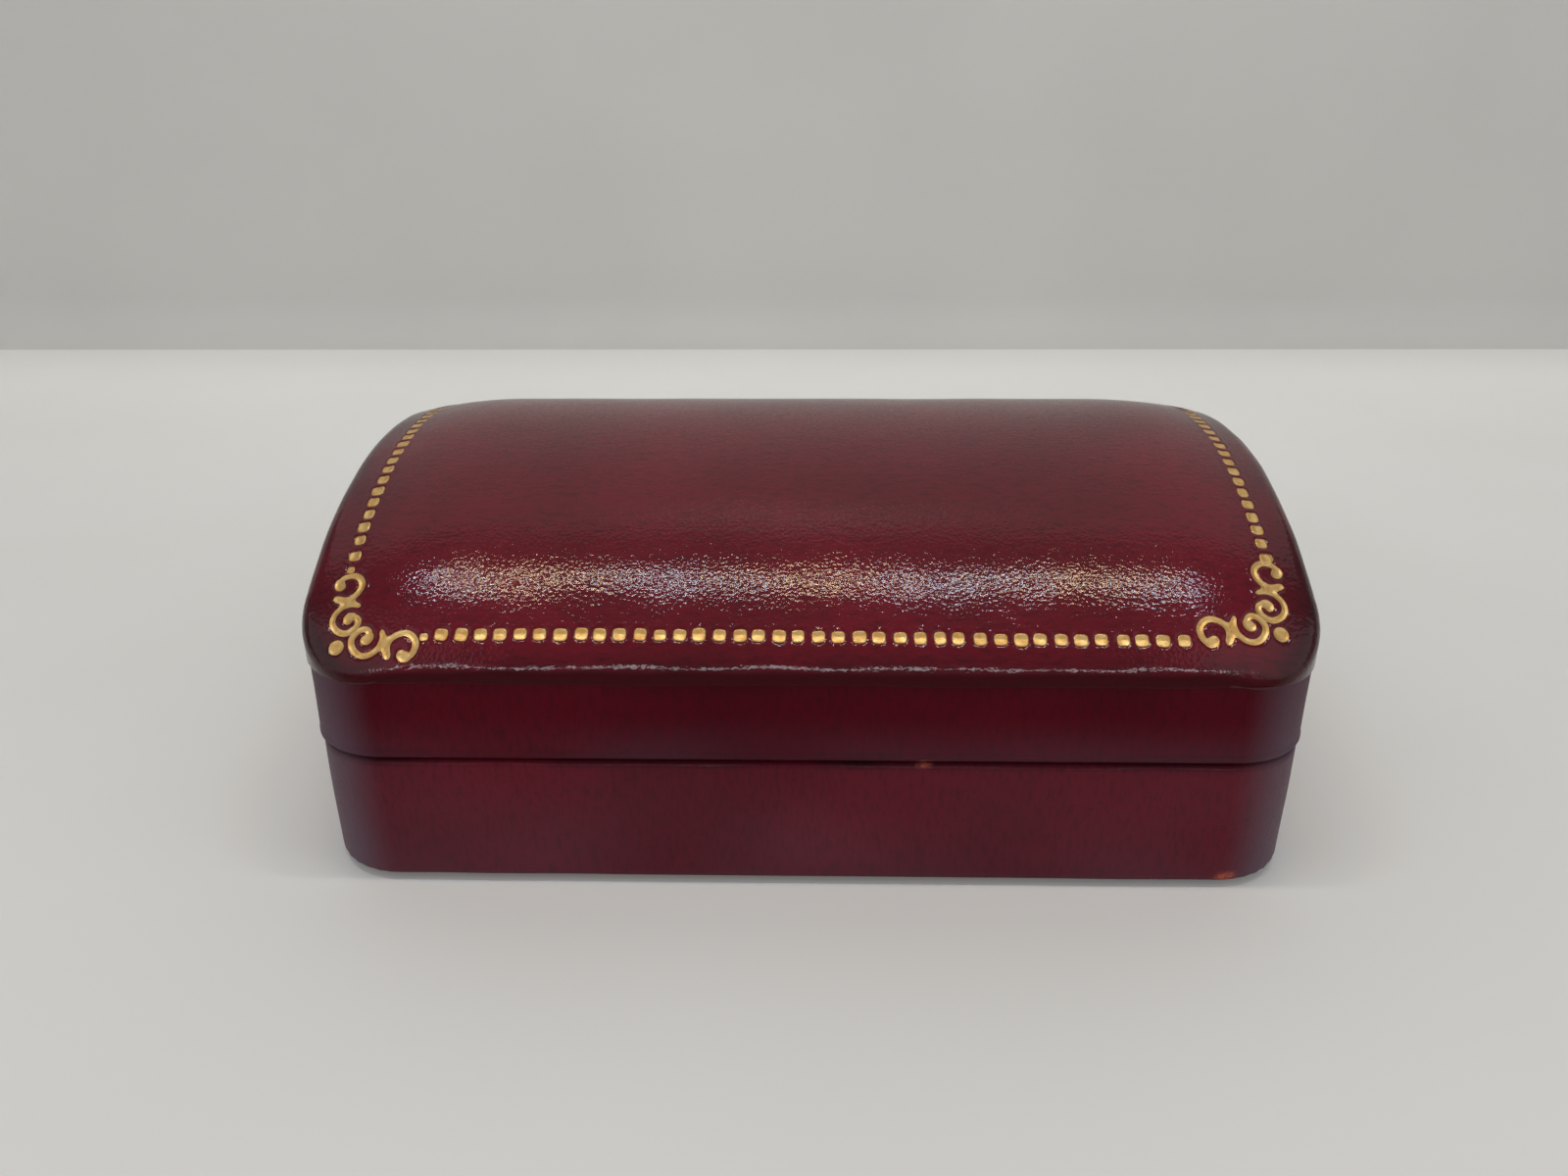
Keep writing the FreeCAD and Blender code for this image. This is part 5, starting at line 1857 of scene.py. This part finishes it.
    def dome_pad(self, finish: bpy.types.Material) -> bpy.types.Object:
        """The pad under the dome: a thin cushion bent to the barrel, glued along its back.

        Args:
            finish: the velvet.

        Returns:
            The piece.
        """
        face, back = self.dome_pad_face, self.dome_pad_back
        edge = SIZES.lid_inside + SIZES.glue
        outline = wall_stations(40, 28, 10).at(edge + self.pad_room)
        middle, lower = outline * (self.middle, 0.0), outline * self.dome_lower
        steps = np.linspace(0, 1, self.dome_steps + 1)[:, None, None]
        layers = [(plan, 1.0) for plan in middle + (lower - middle) * steps[:-1]]
        layers += [(lower, 1.0), (outline, 0.8), (outline, 0.2)]
        layers += [(plan, 0.0) for plan in outline + (middle - outline) * steps[1:]]
        top, thick = back - self.dome_slack, back - face - self.dome_plump
        rings = [raised(plan, CROWN.arch(top - drop * thick, plan[:, 1])) for plan, drop in layers]
        piece = make_piece("dome_velvet_pad", *stack_rings(rings))
        tidy_mesh(piece)
        self.plump(piece, self.dome_fill)
        points = points_of(piece)
        reach = np.hypot(points[:, 1], points[:, 2] - CROWN.axis)
        inset = np.maximum(edge_distance(points[:, :2]) - edge, 0)
        full = self.dome_crown * (1 - np.exp(-inset / self.dome_crown_run))
        full = full * smooth_step(-reach, -back + self.dome_plump, -face)
        target = np.clip(reach - full, face - self.dome_over, back)
        points[:, 1] *= target / reach
        points[:, 2] = CROWN.axis + (points[:, 2] - CROWN.axis) * target / reach
        self.fit_in(piece, points, edge)
        return settle(piece, Body.LID, "velvet", finish, "lid_dome_lining")


@dataclass(frozen=True)
class Hardware:
    """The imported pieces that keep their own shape: the carcass and the hinges."""

    carcass: tuple = ("base_frame", "base_floor", "lid_frame", "lid_dome")
    hinges: tuple = ("hinge_base_leaf_left", "hinge_base_leaf_right", "hinge_lid_leaf_left",
                     "hinge_lid_leaf_right", "hinge_pin_left", "hinge_pin_right", "base_hinge_nails",
                     "lid_hinge_nails")

    def dress(self, wood: bpy.types.Material, metal: bpy.types.Material) -> None:
        """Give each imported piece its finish.

        Args:
            wood: finish of the carcass.
            metal: finish of the hinges.
        """
        for names, finish in ((self.carcass, wood), (self.hinges, metal)):
            for name in names:
                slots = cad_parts[name].data.materials
                slots.clear()
                slots.append(finish)
                log.info("%s: dressed in %s", name, finish.name)


@dataclass(frozen=True)
class Lamp:
    """A flat studio lamp: its place, the point it faces, its length and width, power, colour and beam."""

    name: str
    spot: tuple
    aim: tuple
    size: tuple
    watts: float
    tone: str
    spread: float = 180.0

    def hang(self) -> None:
        """Add the lamp to the scene, its length level."""
        data = bpy.data.lights.new(self.name, "AREA")
        data.shape = "RECTANGLE"
        data.size, data.size_y = (side * MM for side in self.size)
        data.energy = self.watts
        data.spread = math.radians(self.spread)
        data.color = hex_linear(self.tone)[:3]
        back = np.array(self.spot, float) - np.array(self.aim, float)
        back /= np.linalg.norm(back)
        across = np.cross(back, (1.0, 0.0, 0.0))
        rows = np.eye(4)
        rows[:3, 2] = back
        rows[:3, 1] = across / np.linalg.norm(across)
        rows[:3, 0] = np.cross(rows[:3, 1], back)
        rows[:3, 3] = np.array(self.spot) * MM
        lamp = bpy.data.objects.new(self.name, data)
        lamp.matrix_world = Matrix(rows.tolist())
        bpy.context.scene.collection.objects.link(lamp)


@dataclass(frozen=True)
class Studio:
    """Pale paper sweep, soft light with a row of small lamps overhead, and the camera.

    The small lamps are cool and warm by turns, and each kind hangs at its own depth.
    """

    camera_spot: tuple = (0.396, -148.405, 81.757)
    pitch: float = 22.931
    yaw: float = -1.379
    roll: float = -0.298
    lens: float = 27.045
    sensor: float = 36.0
    clip: tuple = (0.005, 20.0)
    wall_y: float = 270.0
    wall_height: float = 230.0
    sweep_radius: float = 16.0
    sweep_reach: float = 2600.0
    floor_tone: str = "#f8f7f4"
    floor_shade: str = "#f4f3ef"
    # painted shade: the sweep's upright part is the same paper as the floor, given a darker tone for the less
    # light it gets
    shaded_wall_tone: str = "#dbdad6"
    shaded_wall_mottle: str = "#d6d5d1"
    world_tone: str = "#f3f2f0"
    world_strength: float = 0.08
    row_half: float = 240.0
    row_count: int = 7
    row_height: float = 600.0
    row_lean: float = 0.3
    row_aim: tuple = (-30.0, 30.0)
    row_size: tuple = (76.0, 12.0)
    row_watts: float = 0.16
    row_kinds: tuple = ((-60.0, "#d9ecff"), (-48.0, "#ffe6b8"))
    lamps: tuple = (
        Lamp("window", (0, -730, 440), (0, -40, 27), (900, 75), 1.6, "#fbfcff"),
        Lamp("ceiling_behind", (0, 560, 800), (0, 0, 20), (2000, 900), 2.4, "#fbfbfb"),
        Lamp("wall_wash", (0, 300, 700), (0, 270, 0), (1500, 200), 0.24, "#fdfdfb", 40.0),
        Lamp("room_-1", (-620, -360, 400), (0, -30, 10), (900, 700), 1.05, "#fdfcff"),
        Lamp("room_1", (620, -360, 400), (0, -30, 10), (900, 700), 1.05, "#fdfcff"),
    )

    def camera(self) -> None:
        """Stand the camera where the photograph was taken from."""
        pitch, yaw, roll = (math.radians(angle) for angle in (self.pitch, self.yaw, self.roll))
        forward = np.array([math.sin(yaw) * math.cos(pitch), math.cos(yaw) * math.cos(pitch),
                            -math.sin(pitch)])
        right = np.array([math.cos(yaw), -math.sin(yaw), 0.0])
        up = np.cross(right, forward)
        rows = np.eye(4)
        rows[:3, 0] = right * math.cos(roll) + up * math.sin(roll)
        rows[:3, 1] = -right * math.sin(roll) + up * math.cos(roll)
        rows[:3, 2] = -forward
        rows[:3, 3] = np.array(self.camera_spot) * MM
        data = bpy.data.cameras.new("camera")
        data.lens, data.sensor_width = self.lens, self.sensor
        data.clip_start, data.clip_end = self.clip
        made = bpy.data.objects.new("camera", data)
        made.matrix_world = Matrix(rows.tolist())
        bpy.context.scene.collection.objects.link(made)
        bpy.context.scene.camera = made

    def sweep(self) -> None:
        """A floor that curves up into a wall: a quarter circle between two straight runs."""
        radius, reach = self.sweep_radius, self.sweep_reach
        turn = np.linspace(0, np.pi / 2, 13)
        along = np.concatenate([[-reach], self.wall_y - radius + radius * np.sin(turn), [self.wall_y]])
        height = np.concatenate([[0.0], radius - radius * np.cos(turn), [self.wall_height]])
        points = np.concatenate([np.stack([np.full_like(along, side), along, height], 1)
                                 for side in (-reach, reach)])
        count = len(along)
        step = np.arange(count - 1)
        faces = np.stack([step, step + count, step + count + 1, step + 1], 1).tolist()
        piece = make_piece("paper_sweep", points, faces, sharp=180.0)
        piece.data.materials.append(Paper("studio_floor", self.floor_tone, self.floor_shade).material())
        # The upright part gets the darker copy of the paper: painted shade.
        piece.data.materials.append(Paper("studio_shaded_wall", self.shaded_wall_tone, self.shaded_wall_mottle).material())
        piece.data.polygons.foreach_set("material_index", (step > 0).astype(np.int32))

    def light(self) -> None:
        """Dim surroundings, a row of small ceiling lamps, and the large soft lamps."""
        world = bpy.data.worlds.new("studio")
        world.use_nodes = True
        sky = world.node_tree.nodes["Background"]
        sky.inputs["Color"].default_value = hex_linear(self.world_tone)
        sky.inputs["Strength"].default_value = self.world_strength
        bpy.context.scene.world = world
        for index, across in enumerate(np.linspace(-self.row_half, self.row_half, self.row_count)):
            depth, tone = self.row_kinds[index % 2]
            spot, aim = (across, depth, self.row_height), (across * self.row_lean, *self.row_aim)
            Lamp(f"ceiling_lamp_{index}", spot, aim, self.row_size, self.row_watts, tone).hang()
        for lamp in self.lamps:
            lamp.hang()

    def build(self) -> None:
        """Set up the whole studio."""
        self.camera()
        self.sweep()
        self.light()
        bpy.context.scene.view_settings.view_transform = "Standard"


def main() -> None:
    """Build the box piece by piece, then the studio."""
    logging.basicConfig(level=logging.INFO, format="%(name)s: %(message)s")
    upright = (1.0, 1.0, 0.3)
    tooling = GoldTooling()
    top_leather = CalfLeather("burnished_calf_lid", "#600819", "#700c20").material()
    # The lid's wall is the same calf as the base's wall; its darker dye is painted shade under the
    # overhanging top leather.
    lid_wall_leather = CalfLeather("burnished_calf_shaded_lid_wall", "#4a0314", "#560718", gloss=0.5,
                                   refraction=1.13, wax=0.03, fibre=upright).material()
    base_leather = CalfLeather("burnished_calf_base", "#5a0c1d", "#681224", gloss=0.5, wax=0.06,
                               fibre=upright).material()
    panel_leather = CalfLeather("plain_calf_bottom", "#3a1014", "#471519", gloss=0.6, wax=0.0).material()
    gold = GoldLeaf().material()
    velvet = Velvet().material()
    DomedLid(tooling).build(top_leather)
    tooling.dashes(gold)
    tooling.scrolls(gold)
    cover = WallCover()
    cover.lid(lid_wall_leather)
    cover.base(base_leather)
    cover.bottom(panel_leather)
    inside = VelvetInside()
    inside.wall_strips(velvet)
    inside.floor_pad(velvet)
    inside.dome_pad(velvet)
    Hardware().dress(Beech().material(), Brass().material())
    Studio().build()


if __name__ == "__main__":
    main()
